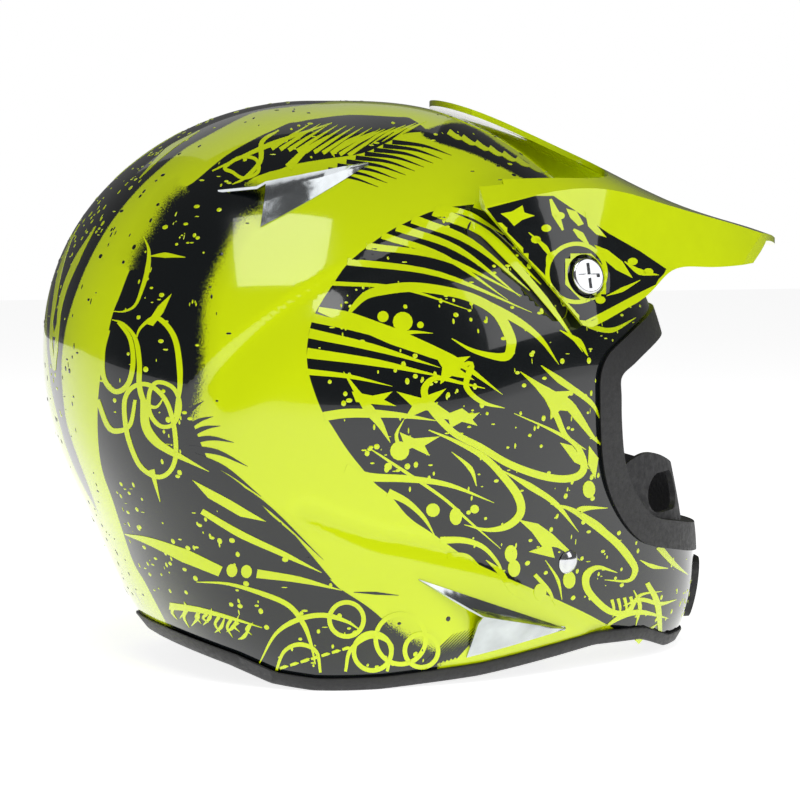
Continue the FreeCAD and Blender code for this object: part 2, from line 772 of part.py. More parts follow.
def makeStrapSpacer(sign):
    """Collar that holds the tab away from the inside of the shell."""
    start = Vector(strapX, tabInner + tabWall + bondGap, strapPivotZ * stretchZ)
    collar = rod(7.0, start, Vector(0, 1, 0), 40).common(shellBlob(-shellWall - bondGap))
    collar = largest(collar.cut(rod(rivetShankRadius + bondGap, start, Vector(0, 1, 0), 40)))
    return collar if sign > 0 else mirrored(collar)


def makeShell():
    shell = shellLayer.common(aboveRim(edgeSeat)).cut(portSlab(edgeSeat - portTrimWidth))
    shell = shell.cut(browSlot(0)).cut(mouthOutline(mouthHoleInset))
    for sign in (1, -1):
        point, out = screwFrame(sign)
        shell = shell.cut(rod(screwShankRadius + bondGap, point - out * 30, out, 60))
        rivet = Vector(strapX, sign * tabInner, strapPivotZ * stretchZ)
        shell = shell.cut(rod(rivetShankRadius + bondGap, rivet, Vector(0, sign, 0), 60))
    return shell


def seatRoom():
    """The shell's wall with a glue line all round, for rubber that wraps it."""
    return layer(bondGap, -shellWall - bondGap)


def makeBaseTrim():
    band = layer(rubberWall, -shellWall - bondGap - rubberWall).common(aboveRim(0))
    outer = band.cut(shellBlob(-shellWall / 2)).cut(aboveRim(baseTrimHeight))
    inner = band.common(shellBlob(-shellWall / 2)).cut(aboveRim(baseLipHeight))
    return outer.fuse(inner).cut(seatRoom().common(aboveRim(edgeSeat - bondGap))).removeSplitter()


def makePortTrim():
    band = layer(rubberWall, -shellWall - bondGap - rubberWall)
    band = band.common(portSlab(0)).cut(portSlab(-portTrimWidth))
    return band.cut(seatRoom().cut(portSlab(edgeSeat - bondGap - portTrimWidth)))


# Side views of the pieces inside the shell
linerLow = [(-46, cheekPadTop), (150, cheekPadTop)]
neckTop = [(-46, 34), (-80, 46), (-170, 50)]
neckBottom = [(-170, 28), (-95, 27), (-80, 26), (-60, 19), (-46, 12)]
headBandTop = 200.0
headBandBottom = 20.0
browPadBack = 40.0           # where the forehead pad meets the temple pads
napePadFront = -36.0
cheekBack = -42.0
cheekFront = 72.0
cheekBottom = 21.0
cheekFoamFront = 76.0
chinFoamBack = 117.0


def raisedBy(points, height):
    return [(x, z + height / stretchZ) for x, z in points]


def linerSlab(gap):
    """Room of the impact liner: above the cheek pads and the neck roll."""
    outline = raisedBy(linerLow, gap) + [(150, 330), (-170, 330)] + raisedBy(neckTop[::-1], gap)
    return polygonSlab(outline).cut(portSlab(padGap))


@lru_cache(maxsize=None)
def wholeLiner():
    liner = shellBlob(-shellWall - padGap).common(linerSlab(padGap))
    liner = liner.cut(headBlob(headPadThickness + padGap))
    for sign in (1, -1):
        seat, out = nutSeat(sign)
        room = nutHeight + screwTail + 1
        liner = liner.cut(rod(nutRadius + 1, seat - out * room, out, throughReach))
    return liner


def makeLinerHalf(sign):
    """One of the two halves of the impact liner, which meet in the middle."""
    return wholeLiner().common(halfSpace(sign, bondGap))


def headLayer(low, high):
    """Lining between the head and the liner, between two heights."""
    heights = polygonSlab([(-170, low), (240, low), (240, high), (-170, high)])
    return headBlob(headPadThickness).common(linerSlab(4 * padGap)).common(heights).cut(headBlob(0))


def makeCrownPad():
    return headLayer(headBandTop, 330)


@lru_cache(maxsize=None)
def headBand():
    """Lining round the head between the crown pad and the cheek pads."""
    return headLayer(headBandBottom, headBandTop - padGap)


def between(back, front):
    """Room between two places along the helmet."""
    start = side(back, 0)
    return Part.makeBox((front - back) * stretchX, 2 * farAway, farAway, Vector(start.x, -farAway, 0))


def makeBrowPad():
    return headBand().common(between(browPadBack, farAway))


def makeNapePad():
    return headBand().common(between(-farAway, napePadFront))


def makeTemplePad(sign):
    room = between(napePadFront + padGap, browPadBack - padGap).common(halfSpace(sign, padGap))
    return headBand().common(room)


def makeNeckRoll():
    roll = layer(-shellWall - padGap, -shellWall - neckRollThickness)
    return roll.common(polygonSlab(neckTop + neckBottom))


def cheekBlock(inner, outer, front, top, corner):
    """Rounded block seen from the side, between two distances from the middle."""
    start = side(cheekBack, cheekBottom, inner)
    end = side(front, top, outer)
    block = Part.makeBox(end.x - start.x, end.y - start.y, end.z - start.z, start)
    across = [edge for edge in block.Edges if abs(edge.Length - (outer - inner)) < 1e-6
              and abs(edge.Vertexes[0].Y - edge.Vertexes[1].Y) > 1]
    return block.makeFillet(corner, across)


cheekPadOuter = cheekPadInner + cheekPadThickness
cheekFoamInner = cheekPadOuter + snapHeight + 2 * bondGap


def makeCheekPad(sign):
    pad = cheekBlock(cheekPadInner, cheekPadOuter, cheekFront, cheekPadTop - padGap, 14.0)
    return pad if sign > 0 else mirrored(pad)


def makeCheekFoam(sign):
    room = shellBlob(-shellWall - bondGap - rubberWall - padGap)
    foam = cheekBlock(cheekFoamInner, farAway / 2, cheekFoamFront, cheekPadTop - padGap, 10.0).common(room)
    return largest(foam if sign > 0 else mirrored(foam))


snapPlaces = [(-22, 42), (14, 66), (46, 42)]


def makeCheekSnaps(sign):
    snaps = []
    for x, z in snapPlaces:
        start = side(x, z, cheekPadOuter + bondGap)
        snap = rod(snapRadius, start, Vector(0, 1, 0), snapHeight)
        snaps.append(snap if sign > 0 else mirrored(snap))
    return Part.makeCompound(snaps)


def makeChinFoam():
    foam = layer(-shellWall - padGap, -shellWall - chinFoamThickness)
    room = polygonSlab([(chinFoamBack, -20), (240, -20), (240, 120), (chinFoamBack, 120)])
    foam = foam.common(room).common(aboveRim(baseLipHeight + padGap)).cut(portSlab(padGap))
    return foam.cut(mouthOutline(mouthHoleInset - 2.0))


# Nose guard: upper edge in side view, and its air holes as angle round the
# head centre, height, width and height of the hole.
guardTop = [(112, 84), (128, 96), (141, 100), (158, 97), (176, 90), (215, 88)]
guardHoles = [(19, 80, 33, 19), (6.5, 70, 9, 9)]


def makeNoseGuard():
    outer = -shellWall - 2 * bondGap - rubberWall
    guard = layer(outer, outer - guardWall)
    edge = curveEdge([side(x, z) for x, z in guardTop])
    start = side(*guardTop[0])
    end = side(*guardTop[-1])
    below = [Vector(end.x, -farAway, 0), Vector(start.x, -farAway, 0)]
    room = Part.Wire([edge, Part.makeLine(end, below[0]), Part.makeLine(below[0], below[1]),
                      Part.makeLine(below[1], start)])
    guard = guard.common(Part.Face(room).extrude(Vector(0, 2 * farAway, 0))).common(portSlab(-4.0))
    for angle, z, width, height in guardHoles:
        for turn in (angle, -angle):
            guard = guard.cut(guardHole(turn, z * stretchZ, width, height))
    return largest(guard)


def guardHole(turn, z, width, height):
    """Long rounded hole that looks away from the head centre."""
    half = width / 2 - height / 2
    block = rod(height / 2, Vector(60, half, z), Vector(1, 0, 0), 200)
    block = block.fuse(rod(height / 2, Vector(60, -half, z), Vector(1, 0, 0), 200))
    if half > 0.01:
        block = block.fuse(Part.makeBox(200, 2 * half, height, Vector(60, -half, z - height / 2)))
    block.rotate(Vector(0, 0, 0), Vector(0, 0, 1), turn)
    return block


def makeMouthCover():
    cover = layer(ventWall * 2, bondGap).common(mouthOutline(0))
    slotWidth = (mouthVentWidth - 4 * mouthHoleInset) * stretchY
    for share in (0.3, 0.5, 0.7):
        z = (mouthVentLow + (mouthVentHigh - mouthVentLow) * share) * stretchZ
        cover = cover.cut(Part.makeBox(farAway, slotWidth, 3.4, Vector(0, -slotWidth / 2, z - 1.7)))
    return cover


def makeMouthMesh():
    return layer(-1.0, -2.4).common(mouthOutline(mouthHoleInset + bondGap))


def makeBrowMesh(sign):
    mesh = layer(-1.4, -2.8).common(browSlot(-bondGap)).common(halfSpace(sign, 10))
    return largest(mesh)


shellLayer = layer(0, -shellWall)
parts = {
    "outer_shell": makeShell(),
    "base_trim": makeBaseTrim(),
    "eye_port_trim": makePortTrim(),
    "crown_pad": makeCrownPad(),
    "brow_pad": makeBrowPad(),
    "nape_pad": makeNapePad(),
    "neck_roll": makeNeckRoll(),
    "chin_bar_foam": makeChinFoam(),
    "nose_guard": makeNoseGuard(),
    "mouth_vent_cover": makeMouthCover(),
    "mouth_vent_mesh": makeMouthMesh(),
    "visor": makeVisor(),
    "d_rings": Part.makeCompound([makeRing(ringHeight + ringWire + bondGap),
                                  makeRing(ringHeight - ringWire - bondGap)]),
    "chin_strap_short": makeShortStrap(),
    "chin_strap_long": makeLongStrap(),
}
for sideName, sign in (("left", 1), ("right", -1)):
    parts["impact_liner_" + sideName] = makeLinerHalf(sign)
    parts["temple_pad_" + sideName] = makeTemplePad(sign)
    parts["cheek_pad_" + sideName] = makeCheekPad(sign)
    parts["cheek_foam_" + sideName] = makeCheekFoam(sign)
    parts["cheek_snaps_" + sideName] = makeCheekSnaps(sign)
    parts["brow_vent_mesh_" + sideName] = makeBrowMesh(sign)
    parts["rear_vent_" + sideName] = makeScoop(rearScoop, sign)
    parts["lower_vent_" + sideName] = makeScoop(lowerScoop, sign)
    parts["visor_spacer_" + sideName] = makeSpacer(sign)
    parts["visor_nut_" + sideName] = makeNut(sign)
    parts["visor_screw_" + sideName] = makeVisorScrew(sign)
    parts["strap_anchor_" + sideName] = makeTab(sign)
    parts["strap_rivet_" + sideName] = makeStrapRivet(sign)
    parts["strap_spacer_" + sideName] = makeStrapSpacer(sign)

# The origin is under the middle of the helmet's length, visor included.
visorBox = parts["visor"].optimalBoundingBox(False)
shellBox = parts["outer_shell"].optimalBoundingBox(False)
middleX = (visorBox.XMax + shellBox.XMin) / 2

os.makedirs("parts", exist_ok=True)
for name, shape in parts.items():
    placed = shape.copy()
    placed.translate(Vector(-middleX, 0, 0))
    placed.exportStep("parts/" + name + ".step")
print("parts", len(parts), "middle", round(middleX, 3))
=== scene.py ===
import math

import bpy
import numpy as np
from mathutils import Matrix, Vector
from mathutils.bvhtree import BVHTree
from mathutils.geometry import delaunay_2d_cdt


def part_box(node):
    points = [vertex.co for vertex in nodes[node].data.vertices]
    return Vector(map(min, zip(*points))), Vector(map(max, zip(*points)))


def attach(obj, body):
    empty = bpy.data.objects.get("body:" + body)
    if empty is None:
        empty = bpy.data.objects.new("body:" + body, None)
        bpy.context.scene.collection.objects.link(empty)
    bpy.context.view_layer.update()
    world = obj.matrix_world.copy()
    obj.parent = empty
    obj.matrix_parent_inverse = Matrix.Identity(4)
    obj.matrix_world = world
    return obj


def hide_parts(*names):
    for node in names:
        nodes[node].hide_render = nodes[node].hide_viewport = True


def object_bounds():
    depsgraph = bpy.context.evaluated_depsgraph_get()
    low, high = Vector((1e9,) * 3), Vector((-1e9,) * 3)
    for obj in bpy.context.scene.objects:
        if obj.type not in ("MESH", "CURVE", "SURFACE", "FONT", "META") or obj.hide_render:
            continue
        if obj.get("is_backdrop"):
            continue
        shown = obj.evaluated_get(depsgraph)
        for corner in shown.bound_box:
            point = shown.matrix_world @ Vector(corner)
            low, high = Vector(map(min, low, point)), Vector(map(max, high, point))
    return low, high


# Off-road helmet. Shapes are worked out in millimetres about the vertical line
# through the middle of the head, and placed in the frame in metres.
# +X is the way the wearer faces, +Y the wearer's left.

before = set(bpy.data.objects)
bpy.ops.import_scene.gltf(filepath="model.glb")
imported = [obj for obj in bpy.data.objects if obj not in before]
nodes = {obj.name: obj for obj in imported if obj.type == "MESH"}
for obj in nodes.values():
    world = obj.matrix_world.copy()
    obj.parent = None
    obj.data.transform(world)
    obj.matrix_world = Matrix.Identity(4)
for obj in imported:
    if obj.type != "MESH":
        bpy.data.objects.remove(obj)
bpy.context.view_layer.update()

# form
form = {
    "length": 320.0, "width": 236.0, "wall": 3.6, "centreZ": 130.0,
    "front": [(0, 136), (22, 143), (44, 150), (60, 156), (75, 165), (90, 174), (103, 190),
              (113, 210), (121, 222), (131, 222), (150, 192), (180, 150)],
    "side": [(0, 136), (30, 128), (60, 121), (90, 118), (110, 122), (122, 130), (139, 156),
             (152, 163), (180, 150)],
    "back": [(0, 136), (37, 136), (60, 134), (85, 126), (102, 121), (125, 121), (145, 135),
             (162, 145), (180, 150)],
    "frontPower": [(0, 2.0), (45, 2.3), (80, 2.45), (110, 2.1), (130, 2.0), (180, 2.0)],
    "backPower": [(0, 2.0), (60, 2.2), (90, 2.35), (120, 2.2), (150, 2.0), (180, 2.0)],
    "pinch": [(0, 0.0), (80, 0.0), (110, 0.05), (125, 0.06), (150, 0.0), (180, 0.0)],
}
rimLine = [(-170, 19), (-95, 17), (-80, 16), (-60, 9), (-45, 2), (-30, 0), (0, 0), (48, 3), (92, 8),
           (115, 11), (146, 10), (166, 3), (240, 0)]
portLine = [(196, 48), (175, 50), (160, 53), (140, 58), (123, 72), (112, 90), (107, 110), (105, 130),
            (107, 145), (118, 154), (134, 162), (152, 168), (172, 170), (260, 170), (260, 48)]


def curveThrough(pairs):
    xs, ys = np.array(pairs, float).T
    count = len(xs)
    steps = np.diff(xs)
    rises = np.diff(ys) / steps
    matrix = np.zeros((count, count))
    right = np.zeros(count)
    matrix[0, :2] = 2 * steps[0], steps[0]
    matrix[-1, -2:] = steps[-1], 2 * steps[-1]
    right[0], right[-1] = 6 * rises[0], -6 * rises[-1]
    for i in range(1, count - 1):
        matrix[i, i - 1:i + 2] = steps[i - 1], 2 * (steps[i - 1] + steps[i]), steps[i]
        right[i] = 6 * (rises[i] - rises[i - 1])
    bends = np.linalg.solve(matrix, right)
    fine = np.linspace(xs[0], xs[-1], 721)
    i = np.clip(np.searchsorted(xs, fine) - 1, 0, count - 2)
    before, after, step = xs[i + 1] - fine, fine - xs[i], steps[i]
    values = ((bends[i] * before ** 3 + bends[i + 1] * after ** 3) / (6 * step)
              + (ys[i] / step - bends[i] * step / 6) * before
              + (ys[i + 1] / step - bends[i + 1] * step / 6) * after)
    return lambda x: np.interp(x, fine, values)


def ease(value):
    t = np.clip(value, 0.0, 1.0)
    return t * t * t * (t * (6 * t - 15) + 10)


curves = {name: curveThrough(form[name]) for name in
          ("front", "side", "back", "frontPower", "backPower", "pinch")}
angles = np.radians(np.arange(60, 140))
widest = {name: (curves[name](np.degrees(angles)) * np.sin(angles)).max() for name in ("front", "side",
        "back")}
stretch = np.array([form["length"] / (widest["front"] + widest["back"]),
                    form["width"] / (2 * widest["side"]), 1.0])
middleX = -widest["back"] * stretch[0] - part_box("outer_shell")[0].x * 1000


def reach(polar, azimuth):
    c, s = np.cos(azimuth), np.sin(azimuth)
    share = ease((c + 0.7) / 1.4)
    along = curves["back"](polar) * (1 - share) + curves["front"](polar) * share
    power = curves["backPower"](polar) * (1 - share) + curves["frontPower"](polar) * share
    across = curves["side"](polar)
    radius = ((np.abs(c) / along) ** power + (np.abs(s) / across) ** power) ** (-1 / power)
    return radius * (1 - curves["pinch"](polar) * np.sin(2 * azimuth) ** 2 * ease(c))


def placed(points):
    return (np.asarray(points, float) - (middleX, 0, 0)) / 1000


def newMesh(name, points, faces, material=None, body="shell", smooth=True):
    mesh = bpy.data.meshes.new(name)
    mesh.from_pydata(placed(points).tolist(), [], [list(face) for face in faces])
    mesh.polygons.foreach_set("use_smooth", [smooth] * len(mesh.polygons))
    piece = bpy.data.objects.new(name, mesh)
    bpy.context.scene.collection.objects.link(piece)
    if material:
        mesh.materials.append(material)
    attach(piece, body)
    return piece


def lineDistance(points, line):
    # Distance of (n, 2) points from an open line.
    best = np.full(len(points), 1e9)
    line = np.asarray(line, float)
    for a, b in zip(line, line[1:]):
        along = b - a
        t = np.clip(((points - a) @ along) / (along @ along), 0, 1)
        best = np.minimum(best, np.linalg.norm(points - a - t[:, None] * along, axis=1))
    return best


def insideBy(points, outline):
    # How deep (n, 2) points lie inside an outline; negative outside.
    outline = np.asarray(outline, float)
    closed = np.vstack([outline, outline[:1]])
    distance = lineDistance(points, closed)
    inside = np.zeros(len(points), bool)
    x, y = points[:, 0], points[:, 1]
    for (ax, ay), (bx, by) in zip(closed, closed[1:]):
        if ay != by:
            inside ^= ((ay > y) != (by > y)) & (x < (bx - ax) * (y - ay) / (by - ay) + ax)
    return np.where(inside, distance, -distance)


def smoothLine(points, parts=5, closed=False):
    # Rounded line through points.
    points = np.asarray(points, float)
    if closed:
        ring = np.vstack([points[-1:], points, points[:2]])
    else:
        ring = np.vstack([2 * points[:1] - points[1:2], points, 2 * points[-1:] - points[-2:-1]])
    made = []
    for i in range(1, len(ring) - 2):
        a, b, c, d = ring[i - 1:i + 3]
        for k in range(parts):
            t = k / parts
            made.append(0.5 * (2 * b + (c - a) * t + (2 * a - 5 * b + 4 * c - d) * t * t
                               + (3 * b - a - 3 * c + d) * t ** 3))
    if not closed:
        made.append(ring[-2])
    return np.array(made)


# The graphics are drawn flat as seen from this place, u to the right and
# v up, and laid onto the right side; the left side is its mirror image.
stencil = {"azimuth": -20.0, "elevation": 4.0, "away": 1500.0, "target": (40.0, 0.0, 130.0)}
turn, lift = math.radians(stencil["azimuth"]), math.radians(stencil["elevation"])
backward = np.array([math.sin(turn) * math.cos(lift), -math.cos(turn) * math.cos(lift), math.sin(lift)])
rightward = np.array([math.cos(turn), math.sin(turn), 0.0])
upward = np.cross(backward, rightward)
target = np.array(stencil["target"])
eye = target + stencil["away"] * backward


def flatPlace(points):
    # Where points, folded onto the right side, lie in the drawing.
    folded = np.array(points, float)
    folded[:, 1] = -np.abs(folded[:, 1])
    offset = folded - target
    scale = stencil["away"] / (stencil["away"] - offset @ backward)
    return np.stack([offset @ rightward * scale, offset @ upward * scale], 1)


# shell grid
gridSize = 84


def roundGrid(size):
    # Directions and four-sided faces of an even grid all round.
    ticks = np.tan(np.linspace(-math.pi / 4, math.pi / 4, size + 1))
    keys, points, faces = {}, [], []
    for axis in range(3):
        for sign in (-1.0, 1.0):
            index = np.zeros((size + 1, size + 1), int)
            for i, a in enumerate(ticks):
                for j, b in enumerate(ticks):
                    p = [0.0, 0.0, 0.0]
                    p[axis], p[(axis + 1) % 3], p[(axis + 2) % 3] = sign, a, b
                    key = tuple(round(value, 6) for value in p)
                    if key not in keys:
                        keys[key] = len(points)
                        points.append(p)
                    index[i, j] = keys[key]
            for i in range(size):
                for j in range(size):
                    face = [index[i, j], index[i + 1, j], index[i + 1, j + 1], index[i, j + 1]]
                    faces.append(face if sign > 0 else face[::-1])
    points = np.array(points)
    return points / np.linalg.norm(points, axis=1)[:, None], np.array(faces)


directions, gridFaces = roundGrid(gridSize)
polar = np.degrees(np.arccos(np.clip(directions[:, 2], -1, 1)))
azimuth = np.arctan2(directions[:, 1], directions[:, 0])
outer = directions * reach(polar, azimuth)[:, None] * stretch
rays = outer / np.linalg.norm(outer, axis=1)[:, None]
outer[:, 2] += form["centreZ"]

relief = {
    "crease": [(60, 223), (4, 203), (-42, 181), (-74, 156), (-92, 130)],
    "creaseDepth": 2.2, "creaseFade": 30.0,
    "valley": [(-40, 84), (-10, 72), (16, 66), (62, 52), (99, 30), (131, 12)], "valleyDepth": 2.0,
    "valleyWidth": 9.0,
}


def reliefDepth(points):
    # How far the surface is sunk at places on it.
    flat = points[:, [0, 2]]
    line = smoothLine(relief["crease"])
    away = lineDistance(flat, line)
    level = np.interp(flat[:, 0], line[::-1, 0], line[::-1, 1])
    below = np.clip((level - flat[:, 1]) / 5.0, 0, 1)
    ends = ease((flat[:, 0] + 96) / 25) * ease((66 - flat[:, 0]) / 30)
    depth = relief["creaseDepth"] * ease(below) * ease(1 - away / relief["creaseFade"]) * ends
    away = lineDistance(flat, smoothLine(relief["valley"]))
    depth += relief["valleyDepth"] * ease(1 - away / relief["valleyWidth"])
    return depth * ease((np.abs(points[:, 1]) - 30) / 30)


surface = outer - rays * reliefDepth(outer)[:, None]
surfaceTree = BVHTree.FromPolygons([tuple(p) for p in surface], gridFaces.tolist())

print("stage: form")
# shade is the olive the yellow darkens to near the faded black zones: partly airbrushed paint, partly painted shade.
paint = {
    "yellow": (0.74, 0.9, 0.0), "shade": (0.16, 0.19, 0.0), "black": (0.004, 0.006, 0.007),
    "gloss": 0.1, "coat": 1.0, "speckle": 0.45,
}


def shader(name, colour, roughness, metallic=0.0, coat=0.0, coatRoughness=0.03):
    # A new material, its nodes and links, and its main shader.
    material = bpy.data.materials.new(name)
    material.use_nodes = True
    tree = material.node_tree
    main = next(node for node in tree.nodes if node.type == "BSDF_PRINCIPLED")
    main.inputs["Base Color"].default_value = (*colour, 1)
    main.inputs["Roughness"].default_value = roughness
    main.inputs["Metallic"].default_value = metallic
    main.inputs["Coat Weight"].default_value = coat
    main.inputs["Coat Roughness"].default_value = coatRoughness
    if coat:
        main.inputs["Specular IOR Level"].default_value = 0.25
    return material, tree, main


def add(tree, kind, **values):
    # A node with named settings; keys that name a socket set the socket.
    node = tree.nodes.new(kind)
    for key, value in values.items():
        if key in node.inputs:
            node.inputs[key].default_value = value
        else:
            setattr(node, key, value)
    return node


def noise(tree, scale, detail=3.0, rough=0.55):
    where = tree.nodes.new("ShaderNodeTexCoord")
    made = add(tree, "ShaderNodeTexNoise", Scale=scale, Detail=detail, Roughness=rough)
    tree.links.new(where.outputs["Object"], made.inputs["Vector"])
    return made.outputs["Fac"]


def ramp(tree, source, low, high, lowColour, highColour):
    made = tree.nodes.new("ShaderNodeValToRGB")
    made.color_ramp.elements[0].position, made.color_ramp.elements[1].position = low, high
    made.color_ramp.elements[0].color, made.color_ramp.elements[1].color = (*lowColour, 1), (*highColour, 1)
    tree.links.new(source, made.inputs["Fac"])
    return made.outputs["Color"]


def grey(value):
    return (value, value, value)


def bumped(tree, main, source, distance, strength=1.0):
    bump = add(tree, "ShaderNodeBump", Distance=distance, Strength=strength)
    tree.links.new(source, bump.inputs["Height"])
    tree.links.new(bump.outputs["Normal"], main.inputs["Normal"])


def textured(name, colour, roughness, scale, depth, variation=0.3, roughSpread=0.1, **more):
    # Material with colour, roughness and height that vary over the surface.
    material, tree, main = shader(name, colour, roughness, **more)
    source = noise(tree, scale)
    dark = tuple(c * (1 - variation) for c in colour)
    light = tuple(min(1.0, c * (1 + variation)) for c in colour)
    tree.links.new(ramp(tree, source, 0.35, 0.65, dark, light), main.inputs["Base Color"])
    tree.links.new(ramp(tree, noise(tree, scale * 0.31), 0.3, 0.7, grey(max(0.02, roughness - roughSpread)),
                        grey(min(1.0, roughness + roughSpread))), main.inputs["Roughness"])
    bumped(tree, main, source, depth)
    return material


def mathNode(tree, operation, first, second, clamp=False):
    made = tree.nodes.new("ShaderNodeMath")
    made.operation = operation
    made.use_clamp = clamp
    for value, socket in ((first, made.inputs[0]), (second, made.inputs[1])):
        if isinstance(value, (int, float)):
            socket.default_value = value
        else:
            tree.links.new(value, socket)
    return made.outputs[0]


def makeShellPaint():
    # Yellow and black zones from the depth stored at each place.
    material, tree, main = shader("shellPaint", paint["yellow"], paint["gloss"], coat=paint["coat"])
    depth = add(tree, "ShaderNodeAttribute", attribute_name="blackDepth").outputs["Fac"]
    fade = add(tree, "ShaderNodeAttribute", attribute_name="fadeWidth").outputs["Fac"]
    fine = noise(tree, 2600.0, 2.0)
    spread = mathNode(tree, "MULTIPLY", mathNode(tree, "SUBTRACT", fine, 0.5), mathNode(tree, "MULTIPLY", fade, 5.0))
    moved = mathNode(tree, "ADD", depth, spread)
    width = mathNode(tree, "ADD", mathNode(tree, "MULTIPLY", fade, paint["speckle"]), 0.25)
    mask = mathNode(tree, "ADD", mathNode(tree, "DIVIDE", moved, width), 0.5, True)
    shaded = mathNode(tree, "ADD", mathNode(tree, "DIVIDE", depth, 9.0), 1.0, True)
    # Within 9 mm outside the faded black zones the yellow darkens towards olive: partly airbrushed paint, partly
    # painted shade.
    airbrushAndShade = tree.nodes.new("ShaderNodeMix")
    airbrushAndShade.data_type = "RGBA"
    tree.links.new(mathNode(tree, "MULTIPLY", shaded, mathNode(tree, "MULTIPLY", fade, 0.06, True)),
            airbrushAndShade.inputs[0])
    airbrushAndShade.inputs[6].default_value = (*paint["yellow"], 1)
    airbrushAndShade.inputs[7].default_value = (*paint["shade"], 1)
    mix = tree.nodes.new("ShaderNodeMix")
    mix.data_type = "RGBA"
    tree.links.new(mask, mix.inputs[0])
    tree.links.new(airbrushAndShade.outputs[2], mix.inputs[6])
    mix.inputs[7].default_value = (*paint["black"], 1)
    tree.links.new(mix.outputs[2], main.inputs["Base Color"])
    tree.links.new(ramp(tree, noise(tree, 40.0), 0.3, 0.7, grey(0.08), grey(0.2)), main.inputs["Roughness"])
    bumped(tree, main, noise(tree, 260.0, 2.0), 0.00006, 0.5)
    return material


materials = {
    "shell": makeShellPaint(),
    "yellow": textured("yellowPaint", paint["yellow"], 0.12, 60.0, 0.00002, 0.02, 0.03, coat=1.0),
    "black": textured("blackPaint", paint["black"], 0.12, 120.0, 0.00003, 0.2, 0.04, coat=1.0),
    "rubber": textured("edgeRubber", (0.012, 0.012, 0.013), 0.5, 1500.0, 0.00006, 0.3, 0.1),
    "guard": textured("guardRubber", (0.014, 0.014, 0.016), 0.6, 900.0, 0.00009, 0.3, 0.12),
    "foam": textured("beadFoam", (0.02, 0.02, 0.022), 0.8, 420.0, 0.00035, 0.35, 0.1),
    "steel": textured("brightSteel", (0.7, 0.71, 0.73), 0.16, 300.0, 0.00002, 0.08, 0.06, metallic=1.0),
    "chrome": textured("ventChrome", (0.55, 0.58, 0.6), 0.16, 45.0, 0.0006, 0.16, 0.06, metallic=1.0),
    "brass": textured("insertBrass", (0.6, 0.42, 0.15), 0.3, 500.0, 0.00004, 0.15, 0.08, metallic=1.0),
    "mesh": textured("ventMesh", (0.02, 0.02, 0.02), 0.55, 700.0, 0.0001, 0.3, 0.1),
    "fabric": textured("padFabric", (0.014, 0.015, 0.017), 0.92, 1400.0, 0.00025, 0.45, 0.06),
    "lining": textured("liningFabric", (0.03, 0.031, 0.034), 0.95, 1100.0, 0.0003, 0.45, 0.05),
    "webbing": textured("strapWebbing", (0.012, 0.012, 0.013), 0.85, 900.0, 0.0002, 0.4, 0.08),
    "snap": textured("snapPlastic", (0.03, 0.03, 0.032), 0.4, 600.0, 0.00005, 0.2, 0.08),
    "thread": textured("seamThread", (0.05, 0.05, 0.052), 0.8, 2500.0, 0.0001, 0.3, 0.1),
}
finishes = {
    "base_trim": "rubber", "eye_port_trim": "rubber", "impact_liner": "foam", "chin_bar_foam": "foam",
    "nose_guard": "guard", "mouth_vent_cover": "guard", "mouth_vent_mesh": "mesh", "d_rings": "steel",
    "cheek_foam": "foam", "cheek_snaps": "snap", "brow_vent_mesh": "mesh", "rear_vent": "chrome",
    "lower_vent": "chrome", "visor_spacer": "rubber", "visor_nut": "brass", "visor_screw": "steel",
    "strap_anchor": "steel", "strap_rivet": "steel", "strap_spacer": "rubber", "visor": "yellow",
    "crown_pad": "lining", "brow_pad": "lining", "nape_pad": "lining", "temple_pad": "lining",
    "neck_roll": "fabric", "cheek_pad": "fabric",
    "chin_strap_short": "webbing", "chin_strap_long": "webbing",
}
for name, node in nodes.items():
    base = name.replace("_left", "").replace("_right", "")
    if base in finishes:
        node.data.materials.clear()
        node.data.materials.append(materials[finishes[base]])

